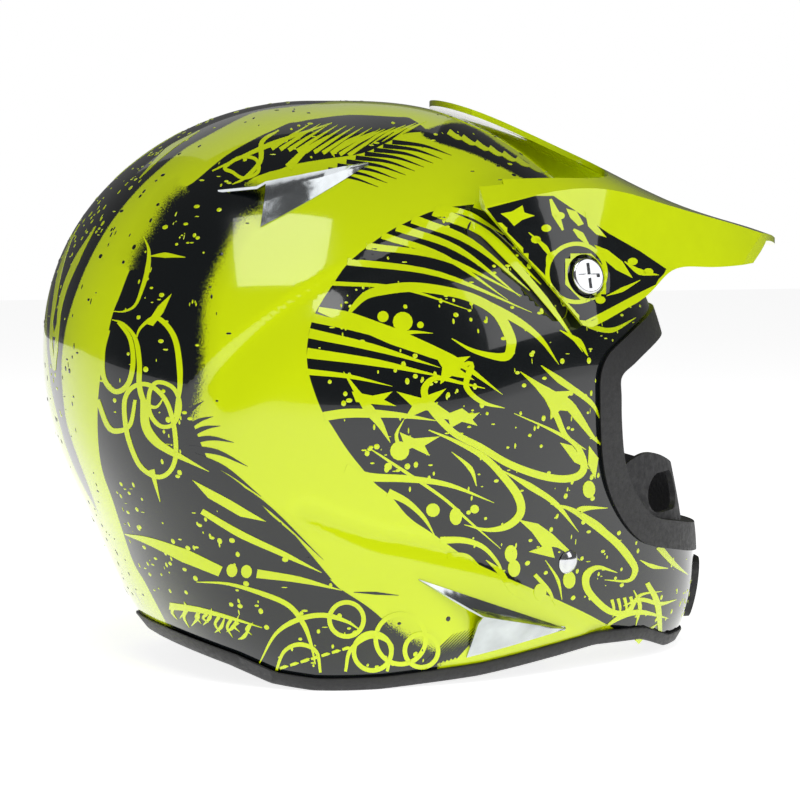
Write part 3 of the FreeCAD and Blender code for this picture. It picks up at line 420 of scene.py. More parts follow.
# Painted zones, as outlines in the drawing. Each has how far its edge fades.
zones = [
    {"fade": 0.3, "outline": [(-24.5, 144.5), (-24.5, 137.5), (-59.5, 132.5), (-70, 129.5), (-84.5, 122),
            (-98, 114.5), (-109, 106), (-121, 95), (-131.5, 82.5), (-139.5, 70.5), (-146.5, 57),
            (-152, 43), (-156, 29.5), (-158, 16.5), (-158.5, 5.5), (-156.5, -15.5), (-152, -31),
            (-144, -52.5), (-136, -74.5), (-128.5, -90.5), (-121.5, -102.5), (-115, -117.5),
            (-108.5, -146.5), (-178.5, -146.5), (-178.5, 144.5)]},
    {"fade": 0.0, "outline": [(-45.5, 126.5), (-57, 122.5), (-67.5, 117.5), (-80, 110), (-94.5, 98),
            (-98, 95), (-108.5, 84.5), (-116.5, 73), (-119.5, 67.5), (-125.5, 56), (-130.5, 43),
            (-134, 34), (-137.5, 18.5), (-139.5, 6.5), (-141, -8), (-141, -25), (-139, -40.5),
            (-134, -55), (-129, -70.5), (-124, -85), (-118.5, -94.5), (-112.5, -106), (-106.5, -117),
            (-100, -127), (-92, -151.5), (14, -151.5), (21.5, -133), (7, -120), (-4, -113), (-24, -98.5),
            (-33.5, -90), (-60, -74.5), (-72.5, -68), (-86, -40.5), (-96, -16.5), (-97.5, 2.5),
            (-96, 26.5), (-92, 50.5), (-86, 70), (-78.5, 86), (-66, 100), (-49.5, 105.5), (-39, 118)]},
    {"fade": 3.2, "outline": [(-101.5, 94), (-66, 96), (-62, 85.5), (-72.5, 79.5), (-80, 65),
            (-84.5, 55), (-88, 47), (-90, 35.5), (-90.5, 20.5), (-91, 5), (-96, -16.5), (-103.5, -28.5),
            (-116, -26.5), (-135, 2.5), (-125.5, 56), (-116.5, 73)]},
    {"fade": 2.6, "outline": [(-103.5, -31), (-92.5, -39), (-72.5, -56), (-50.5, -72), (-29.5, -96.5),
            (-4, -113), (7, -120), (22.5, -134), (-44, -146.5), (-100, -127), (-116, -84), (-135, -45.5)]},
    {"fade": 0.0, "outline": [(3, 129), (9, 128.5), (16.5, 122.5), (6.5, 121), (-1.5, 117), (-14, 111.5),
            (-33.5, 108.5), (-49.5, 105.5), (-66, 100), (-86, 93.5), (-98, 95), (-94.5, 98), (-80, 110),
            (-67.5, 117.5), (-57, 122.5), (-45.5, 126.5), (-26.5, 129.5), (-15, 130)]},
    {"fade": 0.6, "outline": [(15.5, 122), (35, 126), (59.5, 111), (82.5, 96), (100.5, 89), (78, 89.5),
            (63, 99.5), (41, 110.5), (20, 117.5)]},
    {"fade": 0.0, "outline": [(30.5, 86), (23.5, 84.5), (16.5, 82.5), (4.5, 77), (-1, 74), (-7, 70),
            (-13, 65.5), (-22, 57.5), (-28.5, 48.5), (-35, 38), (-38.5, 30), (-40.5, 18), (-40, 7.5),
            (-37, -3), (-33, -13), (-29.5, -18), (-21.5, -30.5), (-14, -40), (-7.5, -47.5), (0, -53.5),
            (8.5, -63.5), (20, -71.5), (37, -84), (52.5, -91.5), (66, -97.5), (81.5, -104.5),
            (102, -114.5), (113.5, -123.5), (119.5, -146.5), (177.5, -146.5), (177.5, 65), (100.5, 89),
            (62, 89)]},
]


# The front faces away from the drawing's view: black, with a stripe up the brow
unseen = {"facing": 0.03, "fromX": 40, "browZ": 150, "browHalf": 24.0, "depth": 20.0}


def zoneDepth(points):
    flat = flatPlace(points)
    depth, fade = np.full(len(points), -99.0), np.zeros(len(points))
    for zone in zones:
        own = insideBy(flat, smoothLine(zone["outline"], 4, True))
        fade = np.where(own > depth, zone["fade"], fade)
        depth = np.maximum(depth, own)
    folded = rays.copy()
    folded[:, 1] = -np.abs(rays[:, 1])
    facing = folded @ backward
    front = (facing < unseen["facing"]) & (points[:, 0] > unseen["fromX"])
    frontDepth = np.where(points[:, 2] < unseen["browZ"], unseen["depth"],
                          unseen["browHalf"] - np.abs(points[:, 1]))
    depth = np.where(front, frontDepth, depth)
    fade = np.where(front, 0.0, fade)
    return depth, fade


# Openings left in the shell grid, which the trim pieces cover
shellGaps = {"aboveRim": 3.0, "insidePort": 7.0, "mouthHalfWidth": 20, "mouthZ": 28, "mouthHalfHeight": 8.5,
             "mouthFromX": 150, "innerDepth": 30.0}


def buildShell():
    depth, fade = zoneDepth(outer)
    centres = surface[gridFaces].mean(1)
    rimHeight = np.interp(centres[:, 0], *np.array(rimLine, float).T)
    keep = centres[:, 2] > rimHeight + shellGaps["aboveRim"]
    port = insideBy(centres[:, [0, 2]], portLine)
    keep &= ~((port > shellGaps["insidePort"]) & (centres[:, 0] > 0))
    keep &= ~((np.abs(centres[:, 1]) < shellGaps["mouthHalfWidth"])
              & (np.abs(centres[:, 2] - shellGaps["mouthZ"]) < shellGaps["mouthHalfHeight"])
              & (centres[:, 0] > shellGaps["mouthFromX"]))
    faces = gridFaces[keep]
    used = np.unique(faces)
    renumber = np.full(len(surface), -1)
    renumber[used] = np.arange(len(used))
    faces = renumber[faces]
    inner = (outer - rays * form["wall"])[used]
    points = np.vstack([surface[used], inner])
    count = len(used)
    edges = {}
    for face in faces.tolist():
        for a, b in zip(face, face[1:] + face[:1]):
            edges[(a, b)] = True
    walls = [(b, a, a + count, b + count) for a, b in edges if (b, a) not in edges]
    allFaces = faces.tolist() + [[i + count for i in face[::-1]] for face in faces.tolist()] + walls
    piece = newMesh("paintedShell", points, allFaces, materials["shell"])
    for label, values, inside in (("blackDepth", depth, shellGaps["innerDepth"]), ("fadeWidth", fade, 0.0)):
        both = np.concatenate([values[used], np.full(count, inside)])
        piece.data.attributes.new(label, "FLOAT", "POINT").data.foreach_set("value",
                both.astype(np.float32))
    return piece


shell = buildShell()
browSlot = {"start": (48, 205), "end": (82, 171), "width": 12.0}


def slotCutter():
    start, end = (np.array(browSlot[key], float) for key in ("start", "end"))
    along = (end - start) / np.linalg.norm(end - start)
    across = np.array([-along[1], along[0]])
    half = browSlot["width"] / 2
    outline = [start + half * (math.cos(a) * across - math.sin(a) * along) for a in np.linspace(0,
            math.pi, 9)]
    outline += [end + half * (-math.cos(a) * across + math.sin(a) * along) for a in np.linspace(0,
            math.pi, 9)]
    count = len(outline)
    points = [(p[0], y, p[1]) for y in (-160, 160) for p in outline]
    faces = [list(range(count)), list(range(count, 2 * count))[::-1]]
    faces += [(i, i + count, (i + 1) % count + count, (i + 1) % count) for i in range(count)]
    return newMesh("slotCutter", points, faces)


def evaluated(piece):
    # Replace a piece's mesh by the result of its modifiers.
    bpy.context.view_layer.update()
    depsgraph = bpy.context.evaluated_depsgraph_get()
    mesh = bpy.data.meshes.new_from_object(piece.evaluated_get(depsgraph), preserve_all_data_layers=True,
                                           depsgraph=depsgraph)
    piece.modifiers.clear()
    piece.data = mesh


cutter = slotCutter()
cut = shell.modifiers.new("slots", "BOOLEAN")
cut.operation, cut.solver, cut.object = "DIFFERENCE", "EXACT", cutter
evaluated(shell)
bpy.data.objects.remove(cutter)
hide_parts("outer_shell")
print("stage: shell", len(shell.data.polygons))


# Laid-on graphics
laying = {"pastMiddle": 2, "longestFace": 22}


def laidOn(flat, tree, out):
    # Points on a surface behind places in the drawing; None where none is.
    made = []
    for u, v in flat:
        through = target + u * rightward + v * upward
        place, normal, _, _ = tree.ray_cast(Vector(eye), Vector(through - eye).normalized())
        if place is None or place.y > laying["pastMiddle"]:
            made.append(None)
        else:
            made.append(np.array(place) + np.array(normal) * out)
    return made


class Graphic:
    # Thin painted shapes on one surface, in one colour.

    def __init__(self, name, tree, out, material, body="shell"):
        self.name, self.tree, self.out = name, tree, out
        self.material, self.body = material, body
        self.points, self.faces = [], []

    def lay(self, flat, faces):
        found = laidOn(flat, self.tree, self.out)
        number = {}
        for i, place in enumerate(found):
            if place is not None:
                number[i] = len(self.points)
                self.points.append(place)
        for face in faces:
            if all(i in number for i in face):
                corners = [found[i] for i in face]
                longest = max(np.linalg.norm(a - b) for a, b in zip(corners, corners[1:] + corners[:1]))
                if longest < laying["longestFace"]:
                    self.faces.append([number[i] for i in face])

    def stroke(self, line, widths, closed=False):
        # Ribbon along a line whose width changes from point to point.
        line = np.asarray(line, float)
        path = smoothLine(line, 6, closed)
        spans = np.linspace(0, 1, len(path))
        width = np.interp(spans, np.linspace(0, 1, len(widths)), widths)
        ahead = np.gradient(path, axis=0)
        if closed:
            ahead = np.roll(path, -1, 0) - np.roll(path, 1, 0)
        ahead /= np.maximum(np.linalg.norm(ahead, axis=1), 1e-6)[:, None]
        across = np.stack([-ahead[:, 1], ahead[:, 0]], 1) * width[:, None] / 2
        flat = np.concatenate([path - across, path, path + across])
        count = len(path)
        faces = []
        last = count if closed else count - 1
        for i in range(last):
            j = (i + 1) % count
            faces += [(i, j, j + count, i + count), (i + count, j + count, j + 2 * count, i + 2 * count)]
        self.lay(flat, faces)

    def fill(self, outline, pitch=4.0):
        outline = np.asarray(outline, float)
        low, high = outline.min(0), outline.max(0)
        grid = np.array([(x, y) for x in np.arange(low[0], high[0], pitch) for y in np.arange(low[1],
                high[1], pitch)]
                        or [outline.mean(0)])
        grid = grid[insideBy(grid, outline) > pitch * 0.4]
        dense = []
        for a, b in zip(outline, np.roll(outline, -1, 0)):
            parts = max(1, int(np.linalg.norm(b - a) / pitch))
            dense += [a + (b - a) * k / parts for k in range(parts)]
        flat = dense + list(grid)
        count = len(dense)
        result = delaunay_2d_cdt([Vector(p) for p in flat], [], [list(range(count))], 1, 1e-4)
        self.lay([tuple(p) for p in result[0]], [tuple(face) for face in result[2]])

    def dot(self, centre, across, up=None):
        up = up or across
        self.fill([(centre[0] + across * math.cos(a), centre[1] + up * math.sin(a))
                   for a in np.linspace(0, 2 * math.pi, 15)[:-1]])

    def build(self):
        points = np.array(self.points)
        both = np.vstack([points, points * (1, -1, 1)])
        count = len(points)
        faces = self.faces + [[i + count for i in face[::-1]] for face in self.faces]
        piece = newMesh(self.name, both, faces, self.material, self.body)
        thick = piece.modifiers.new("thick", "SOLIDIFY")
        thick.thickness, thick.offset = 0.0004, -1.0
        evaluated(piece)
        piece.data.set_sharp_from_angle(angle=math.radians(35))
        return piece


def drawBlack(g):
    for base, tip, width in (
            [(-100.5, -16.5), (-90, -7.5), 2.6], [(-99.5, -21.5), (-85.5, -15), 2.8], [(-98.5, -25),
                    (-82, -19.5), 3],
            [(-98.5, -27.5), (-75.5, -27.5), 3.2], [(-98.5, -30.5), (-69, -39), 3.6], [(-98.5, -33),
                    (-62.5, -53.5), 4],
            [(-96.5, -35), (-50, -71), 4.4], [(-92, -39), (-32.5, -84), 3]):
        middle = ((base[0] + tip[0]) / 2, (base[1] + tip[1]) / 2 + 0.09 * (tip[0] - base[0]))
        g.stroke([base, middle, tip], [width, width * 0.7, 0.1])
    for k in range(10):
        g.stroke(np.array([(14, -136), (21.5, -128), (30, -119.5)]) + np.array([k * 1.9, k * 0.55]),
                [1.1, 0.8, 0.1])
    for k in range(9):
        g.stroke(np.array([(0.5, 117), (16, 115), (29, 110.5)]) + np.array([-k * 4.4, -k * 1.9]),
                [2.2, 1.3, 0.1])
    g.stroke([(-18, -99.5), (-7.5, -100), (3.5, -101)], [0.3, 1.4, 0.2])
    g.stroke([(-24, -99.5), (-9, -109), (6, -122.5)], [2.2, 1.2, 0.2])
    g.fill([(-103.5, -32), (-92, -37), (-70.5, -51.5), (-46, -72.5), (-28.5, -93.5), (-33.5, -92),
            (-60, -72), (-87, -50.5)])


def drawYellow(g):
    # Rear band
    for line, widths in (
            ([(-119, 71.5), (-116.5, 65), (-117, 56), (-119.5, 47), (-123, 38.5), (-128.5, 35.5),
                    (-133.5, 35.5)], [0.4, 2.4, 1.2, 0.4]),
            ([(-134, 31.5), (-128.5, 29.5), (-123, 22.5), (-121, 11), (-121, 0), (-118.5, -8),
                    (-113, -10.5), (-109, -5.5)], [0.4, 2.2, 2.6, 0.5]),
            ([(-122.5, 22.5), (-120.5, 27.5), (-114, 32.5), (-108.5, 29.5), (-104, 22.5), (-102, 12.5),
                    (-101.5, 0), (-103, -10), (-104, -15.5)], [0.5, 2.4, 2.8, 1.0]),
            ([(-141, -7), (-136.5, -19), (-132, -22), (-125.5, -19), (-123, -7)], [2.0, 2.6, 1.5]),
            ([(-118.5, -7), (-118, -19), (-113.5, -26.5), (-106.5, -31.5), (-98, -36),
                    (-87.5, -41.5)], [4.0, 4.4, 3.0, 0.2]),
            ([(-136, 26.5), (-138.5, 16), (-138, 3.5), (-132.5, -3), (-126.5, 0.5), (-124, 11),
                    (-125.5, 22.5), (-131, 30.5)], [1.8, 2.6, 1.8])):
        g.stroke(line, widths)
    g.stroke([(-128, -7), (-127.5, -20), (-124.5, -31), (-120, -39.5), (-112.5, -44), (-106.5, -41.5),
            (-103.5, -33.5), (-104.5, -19), (-108.5, -7), (-116, 0), (-123.5, -0.5)], [2.2], True)
    g.stroke([(-112, 1.5), (-116, -3), (-116, -13), (-111, -19.5), (-104.5, -18.5), (-101.5, -10),
            (-104.5, -1.5)], [2.0], True)
    g.fill([(-117.5, 29.5), (-112, 38), (-105.5, 44), (-109.5, 35), (-114.5, 28.5)])
    g.stroke([(-116, 62), (-108.5, 62.5), (-99, 61.5)], [0.3, 2.6, 0.3])
    g.stroke([(-115, -40.5), (-113, -48.5), (-111, -56)], [2.6, 1.4, 0.2])
    g.fill([(-95.5, -45.5), (-77.5, -55), (-60, -65.5), (-72.5, -63), (-88, -54)])
    g.stroke([(-91, -60.5), (-72.5, -71.5), (-51, -81.5), (-33.5, -90)], [2.6, 3.4, 2.6, 0.3])
    g.stroke([(-128, -71.5), (-116, -75), (-99, -82), (-82, -89.5)], [0.5, 3.6, 6.4, 5.0])
    g.dot((-76.5, -89), 2.6, 3.2)
    g.dot((-69.5, -89.5), 2.6, 3.2)
    g.stroke([(-64.5, -90.5), (-44, -93.5), (-24, -98.5)], [4.2, 3.0, 0.3])
    for line, widths in (
            ([(-93.5, -94.5), (-78, -95.5), (-61, -100.5), (-49, -106), (-42, -115), (-38.5, -124.5),
                    (-36.5, -134)], [0.4, 2.4, 2.4, 0.6]),
            ([(-63.5, -134), (-55.5, -119.5), (-44.5, -112.5), (-32.5, -110.5), (-21.5, -113.5),
                    (-14.5, -118)], [0.5, 2.4, 2.4, 0.4]),
            ([(-22, -137.5), (-19.5, -127), (-9.5, -120.5), (0, -125), (-2, -137.5)], [1.4, 2.4, 1.4]),
            ([(-106.5, -106), (-92, -108), (-76.5, -112), (-62, -116.5)], [3.4, 2.6, 1.6, 0.3]),
            ([(-55.5, -138), (-51.5, -128), (-44, -124.5), (-36, -128), (-34, -138)], [1.2, 2.2, 1.2])):
        g.stroke(line, widths)
    for centre, size in (((-21.5, -112.5), 8.2), ((4.5, -122), 12.0), ((-9, -128), 9.0), ((14.5, -127.5),
            8.0)):
        ring = [(centre[0] + size * math.cos(a),
                centre[1] + size * math.sin(a)) for a in np.linspace(0, 2 * math.pi, 13)[:-1]]
        g.stroke(ring, [2.2], True)
    for k in range(8):
        start = np.array((-103.5, -106)) + np.array([5.0 * k + (k % 3) * 0.8, -1.3 * k])
        size = 6.0 + 2.4 * math.sin(1.7 * k)
        g.stroke([start, start + (-1.8, -0.5 * size), start + (0.8, -1.1 * size)], [1.8, 1.3, 0.1])
    for k in range(7):
        start = np.array((-53.5, -136)) + np.array([5.0 * k, 1.5 * k])
        g.stroke([start, start + (2.5, 0.8), start + (4.2, 1.0)], [1.2, 1.6, 0.3])
    # Crown band
    g.stroke([(-86, 103), (-58.5, 115.5), (-28.5, 126)], [0.6, 2.4, 0.4])
    g.stroke([(-54, 122.5), (-62, 117), (-63, 107.5), (-70.5, 99.5), (-76.5, 96.5)], [0.6, 2.6, 1.8, 0.3])
    g.stroke([(-49.5, 104.5), (-41, 113), (-30.5, 120)], [4.0, 2.4, 0.2])
    g.stroke([(-80, 104.5), (-72.5, 109.5), (-65, 108.5), (-64, 102.5), (-71, 99.5),
            (-76.5, 102.5)], [1.6], True)
    for k in range(10):
        g.stroke(np.array([(-57.5, 113), (-48.5, 119),
                (-38, 125.5)]) + np.array([k * 4.1, 0.6 - 0.35 * k]), [2.0, 1.4, 0.1])
    for k in range(7):
        g.stroke(np.array([(-29.5, 112), (-21.5, 117), (-13, 121)]) + np.array([k * 5.0, 1.0 * k]),
                [0.2, 1.5, 0.2])
    # Centre back streaks
    for line, widths in (
            ([(-142, 76.5), (-151.5, 59.5), (-158.5, 41), (-161, 19.5)], [0.3, 2.6, 2.0, 0.3]),
            ([(-159, 35), (-162, 17), (-162, -3)], [0.3, 3.6, 0.3]),
            ([(-154.5, 65), (-159, 50.5), (-163, 32.5)], [0.3, 2.2, 0.3]),
            ([(-92, 122.5), (-107.5, 113), (-121, 99.5)], [0.3, 2.4, 0.3])):
        g.stroke(line, widths)
    # Side disc: long tapers from its rear edge
    for start, end, width, bend in (
            ((40, 87.5), (95.5, 56.5), 6.6, 5), ((20.5, 84), (72, 48.5), 8.6, 6), ((10, 80),
                    (66.5, 45.5), 7.0, 6),
            ((2.5, 76), (62, 42.5), 6.2, 6), ((-4.5, 72), (56, 41), 5.2, 5), ((-12, 67), (62.5, 43),
                    5.4, 6),
            ((-21, 59.5), (67.5, 35), 5.6, 6), ((-28.5, 49), (38, 36), 3.4, 4)):
        middle = ((start[0] + end[0]) / 2, (start[1] + end[1]) / 2 + bend)
        g.stroke([start, middle, end], [width * 0.62, width * 0.46, 0.2])
    g.stroke([(23.5, 85.5), (38, 82), (54, 72.5)], [2.6, 2.6, 0.3])
    # Upper loop and its branch
    g.stroke([(-20.5, 33), (-19, 36.5), (-11.5, 43.5), (1, 46.5), (13.5, 47), (30, 44.5), (41, 41),
            (51, 34.5), (57, 23.5), (57.5, 18.5), (55.5, 14), (49, 14), (38.5, 17),
            (29, 22.5)], [0.6, 4.8, 4.2, 5.0, 4.0, 0.4])
    g.stroke([(41, 41), (59, 32), (71.5, 22.5), (80.5, 10)], [4.4, 3.6, 2.4, 0.2])
    g.stroke([(-35, 36.5), (-20.5, 32), (1, 23.5), (20, 16), (34, 10),
            (53.5, -4.5)], [2.4, 6.4, 8.0, 6.0, 3.2, 0.2])
    g.stroke([(1, 23.5), (10, 25.5), (20, 25)], [3.0, 1.8, 0.2])
    for start, end, width in (((-38, 32.5), (7.5, 19), 4.4), ((-39.5, 25), (23.5, 8.5), 4.8),
            ((-40.5, 15.5), (27.5, 3.5), 5.0), ((-40.5, 6.5), (0.5, -0.5), 3.0)):
        g.stroke([start, ((start[0] + end[0]) / 2, (start[1] + end[1]) / 2 + 1.2),
                end], [width, width * 0.7, 0.2])
    g.stroke([(-32.5, -15), (-22, -13.5), (-10.5, -13.5), (5, -14.5),
            (21.5, -17)], [4.4, 4.4, 4.2, 2.6, 0.3])
    g.stroke([(-23, 6.5), (-17, -2.5), (-10.5, -12), (-5.5, -18.5),
            (-0.5, -27.5)], [0.3, 2.4, 5.0, 3.4, 0.3])
    for centre, size in (((5.5, 30.5), 4.8), ((-4, 33), 2.7), ((4, -31.5), 4.6), ((20, -60), 3.3),
            ((40, -59.5), 2.1), ((14, 29), 1.6), ((-1.5, -39), 1.8)):
        g.dot(centre, size)
    for centre in ((57.5, -81), (59, -88), (95, -50), (85.5, -93.5), (31, -63), (71.5, -99.5)):
        g.dot(centre, 3.0, 4.2)
    # Middle swirl
    g.stroke([(45, -1.5), (34, 1), (21.5, 3.5), (16, -1.5), (17.5, -8.5), (22.5, -15.5), (31, -23.5),
            (42.5, -29.5), (56, -37.5), (70.5, -43), (82.5, -45), (90.5, -43), (92.5, -37.5),
            (88.5, -28.5), (77, -21.5), (59, -13.5)], [0.4, 3.4, 3.2, 3.6, 3.4, 0.3])
    g.stroke([(18, -21.5), (31, -27), (44.5, -34.5), (54, -44), (61, -53.5), (62, -61.5), (56, -67.5),
            (46.5, -69.5), (35, -67)], [0.6, 3.0, 4.2, 3.4, 0.3])
    g.stroke([(52.5, -40.5), (66.5, -48.5), (79, -57), (90, -70.5)], [0.3, 3.2, 2.6, 0.2])
    g.fill([(61, -64.5), (70.5, -66.5), (77.5, -71.5), (91, -84.5), (80, -78), (77, -77.5), (78.5, -83),
            (66, -80), (72.5, -77.5), (67.5, -70.5)])
    g.stroke([(-22, -40), (-10.5, -44), (8.5, -45), (28, -48), (49.5, -56.5)], [4.4, 4.0, 3.4, 2.2, 0.2])
    g.stroke([(-11, -30), (-1, -36.5), (24, -53.5), (37, -65), (52.5, -78.5)], [0.4, 1.6, 1.4, 0.3])
    g.stroke([(-1.5, -51.5), (7.5, -56), (15.5, -63.5), (21, -72.5)], [4.0, 3.0, 2.0, 0.3])
    g.stroke([(23.5, -74.5), (35, -74.5), (44.5, -78), (51.5, -86), (54, -92.5)], [3.4, 2.6, 1.8, 0.3])
    g.stroke([(27, -82), (36, -82), (42.5, -87)], [3.0, 2.2, 0.3])
    g.fill([(20.5, -11), (27.5, -13.5), (34, -11), (38, -14), (42.5, -13), (39, -16.5), (41.5, -19.5),
            (34, -17.5), (28.5, -20.5), (27.5, -16.5), (21.5, -15.5)])
    g.fill([(-19, -3), (-9, -5), (0.5, -3), (-3.5, -7), (2.5, -10), (-9, -9), (-17, -8)])
    # Chin side
    g.stroke([(76.5, -57), (86, -59.5), (95.5, -65.5), (108.5, -76), (116, -85.5), (117, -90),
            (113.5, -94), (102.5, -93.5)], [0.4, 3.4, 3.8, 2.4, 0.3])
    g.stroke([(104, -59), (94.5, -59), (90, -61), (99.5, -67), (108.5, -76)], [0.3, 2.8, 2.2, 2.0])
    g.stroke([(108.5, -90), (99.5, -87.5), (94, -91), (94, -97.5), (99, -104), (106, -109),
            (113.5, -109), (119.5, -101), (130, -99)], [0.4, 3.6, 3.2, 2.6, 0.3])
    g.stroke([(123, -95), (128, -105.5), (129.5, -124)], [2.2, 3.0, 1.4])
    g.stroke([(118, -123.5), (123, -118.5), (128, -114.5)], [2.6, 1.8, 0.3])
    g.stroke([(128.5, -77.5), (135.5, -85.5), (142.5, -91)], [3.2, 2.4, 0.4])
    g.stroke([(100.5, -118.5), (109, -112), (119.5, -109), (133, -112)], [0.4, 2.2, 2.6, 0.4])
    for k in range(5):
        start = np.array((106, -103)) + np.array([3.0 * k, 0.5 * k])
        g.stroke([start, start + (1.0, -4.5), start + (0.5, -8.5)], [1.6, 1.2, 0.2])
    g.fill([(95, -29), (99.5, -35), (98, -45), (94.5, -38)])
    g.stroke([(80.5, -7), (89, -15.5), (96.5, -24.5), (102.5, -30)], [0.4, 2.6, 2.0, 0.3])
    g.stroke([(104, -35.5), (105, -48.5), (111, -60), (118.5, -68.5)], [0.9, 1.1, 0.9])
    g.stroke([(72, 9.5), (81, 2.5), (95.5, -8), (100.5, -16.5)], [0.4, 3.2, 2.4, 0.2])
    g.stroke([(37, 77.5), (52.5, 65), (74, 41), (92, 16)], [0.4, 3.4, 3.0, 0.2])
    g.stroke([(28, 6.5), (38, 10), (36, -0.5), (43.5, -8), (54.5, -11)], [0.3, 3.4, 2.6, 2.2, 0.3])
    g.stroke([(62, 6.5), (74.5, -3), (86, -9), (97.5, -24.5)], [0.3, 4.4, 3.2, 0.3])
    g.stroke([(73, -5), (79, -14), (84, -24.5), (93.5, -31)], [0.3, 3.0, 2.4, 0.3])
    g.fill([(69.5, -1.5), (79, -3), (88, -2.5), (83, -7), (91, -13), (81, -12), (76.5, -16.5), (76.5, -10)])
    g.fill([(81, -27.5), (87, -29), (95.5, -40.5), (88, -37)])
    g.fill([(2.5, -3), (14, -6), (26.5, -1.5), (20.5, -8), (29, -14), (16.5, -12), (6, -16.5), (10, -10)])
    g.fill([(4, -22.5), (11, -25.5), (23.5, -24.5), (16, -29), (18.5, -34), (10, -30), (3.5, -33),
            (6, -28)])
    g.fill([(20, 16), (28.5, 13), (38, 14), (32, 8.5), (40, 2.5), (29, 4.5), (23.5, 0.5), (24.5, 8.5)])
    g.stroke([(6, -16.5), (2.5, -23.5), (3.5, -29)], [0.3, 1.6, 2.0])
    g.stroke([(29, -32), (38, -40), (41, -48.5)], [0.3, 2.4, 0.3])
    g.stroke([(45.5, -84), (52.5, -90), (58, -98.5), (66.5, -105)], [0.3, 3.0, 2.4, 0.3])
    g.stroke([(69, -91), (75.5, -98.5), (79, -106)], [2.0, 2.0, 0.3])
    g.stroke([(74, -84), (80, -93.5), (82, -103)], [0.3, 1.6, 0.3])
    g.stroke([(119.5, -84), (125.5, -87), (133, -88)], [0.3, 2.2, 0.3])
    g.stroke([(111.5, -106), (120, -103), (129, -105), (137, -103)], [0.4, 2.0, 2.0, 0.3])
    g.stroke([(116.5, -98.5), (119.5, -106), (117.5, -115.5)], [0.4, 2.0, 0.3])
    g.stroke([(88.5, 32.5), (95.5, 28.5), (106, 26.5), (117.5, 32.5)], [0.3, 2.4, 2.4, 0.3])
    g.stroke([(81, 26.5), (90, 21), (94.5, 14)], [0.3, 3.0, 0.3])
    # Lower rear, an irregular fern
    for k in range(6):
        start = np.array((-101.5, -112)) + np.array([5.6 * k, -1.6 * k - (k % 2) * 2.0])
        g.stroke([start, start + (3.0, 4.5 - k * 0.6), start + (2.0 + k, 8.0)], [0.3, 2.0, 0.2])
    # Under the visor's tongue
    for k in range(7):
        start = np.array((27.5, 122)) + np.array([6.5 * k, -2.6 * k])
        g.stroke([start, start + (4.5, -3.0), start + (8.5, -3.6)], [2.6, 2.0, 0.3])


def drawVisorPanel(g):
    g.fill([(46, 85), (69, 91), (78, 91), (104.5, 73), (119.5, 64.5), (136.5, 53), (108, 38.5),
            (96.5, 31), (88, 31.5), (77, 45), (61.5, 64)], pitch=2.5)


def drawVisorYellow(g):
    ring = [((89, 54)[0] + 14 * math.cos(a),
            (89, 54)[1] + 14 * math.sin(a)) for a in np.linspace(0, 2 * math.pi, 17)[:-1]]
    g.stroke(ring, [2.0], True)
    g.fill([(97.5, 67.5), (104, 65), (111, 59.5), (116, 51.5), (108, 55.5), (101.5, 61)])
    g.fill([(52.5, 82.5), (58, 83.5), (63, 86.5), (64, 83), (69, 81.5), (63, 79.5), (59, 76.5), (56, 80)])
    g.stroke([(76.5, 89.5), (79, 82.5), (82.5, 74.5)], [1.2, 3.8, 1.0])
    g.stroke([(87.5, 75), (91, 72), (95, 67)], [1.0, 3.4, 0.8])
    g.stroke([(112, 59.5), (119.5, 54.5), (128.5, 53)], [0.4, 3.0, 0.3])
    g.stroke([(66, 73.5), (74, 66), (77.5, 59.5)], [0.3, 2.6, 0.3])
    g.stroke([(103.5, 43), (111, 46), (119.5, 50.5)], [0.3, 2.2, 0.3])
    g.fill([(93, 83.5), (96.5, 79.5), (103.5, 71), (98.5, 72.5), (94.5, 76.5)])
    g.fill([(84, 85), (89, 83.5), (92.5, 77.5), (90, 76.5), (86, 80.5)])
    g.stroke([(79, 65), (75.5, 62), (74.5, 57.5)], [0.3, 1.8, 0.3])
    g.stroke([(93.5, 30.5), (102.5, 35), (119.5, 44), (135, 51.5)], [1.2, 1.2])
    for centre in ((81, 81.5), (116, 59.5), (123.5, 54.5), (69.5, 70), (100.5, 41), (74.5, 75.5)):
        g.dot(centre, 2.4, 1.8)


def visorTree():
    mesh = nodes["visor"].data
    mesh.calc_loop_triangles()
    points = [(v.co.x * 1000 + middleX, v.co.y * 1000, v.co.z * 1000) for v in mesh.vertices]
    return BVHTree.FromPolygons(points, [tuple(t.vertices) for t in mesh.loop_triangles])


visorSurface = visorTree()
graphics = []
for name, tree, out, colour, body, draw, paintSlot in (
        ("blackFlourishes", surfaceTree, 0.12, "black", "shell", drawBlack, "shell_paint"),
        ("yellowFlourishes", surfaceTree, 0.2, "yellow", "shell", drawYellow, "shell_paint"),
        ("visorPanels", visorSurface, 0.12, "black", "visor", drawVisorPanel, "visor_paint"),
        ("visorFlourishes", visorSurface, 0.22, "yellow", "visor", drawVisorYellow, "visor_paint")):
    graphic = Graphic(name, tree, out, materials[colour], body)
    draw(graphic)
    piece = graphic.build()
    graphics.append(piece)
print("stage: graphics", [len(piece.data.polygons) for piece in graphics])

# Splatter, scattered by how deep a place lies in the black zones
splatter = {"yellowCount": 22000.0, "blackCount": 20000.0, "smallest": 0.2, "largest": 1.5}


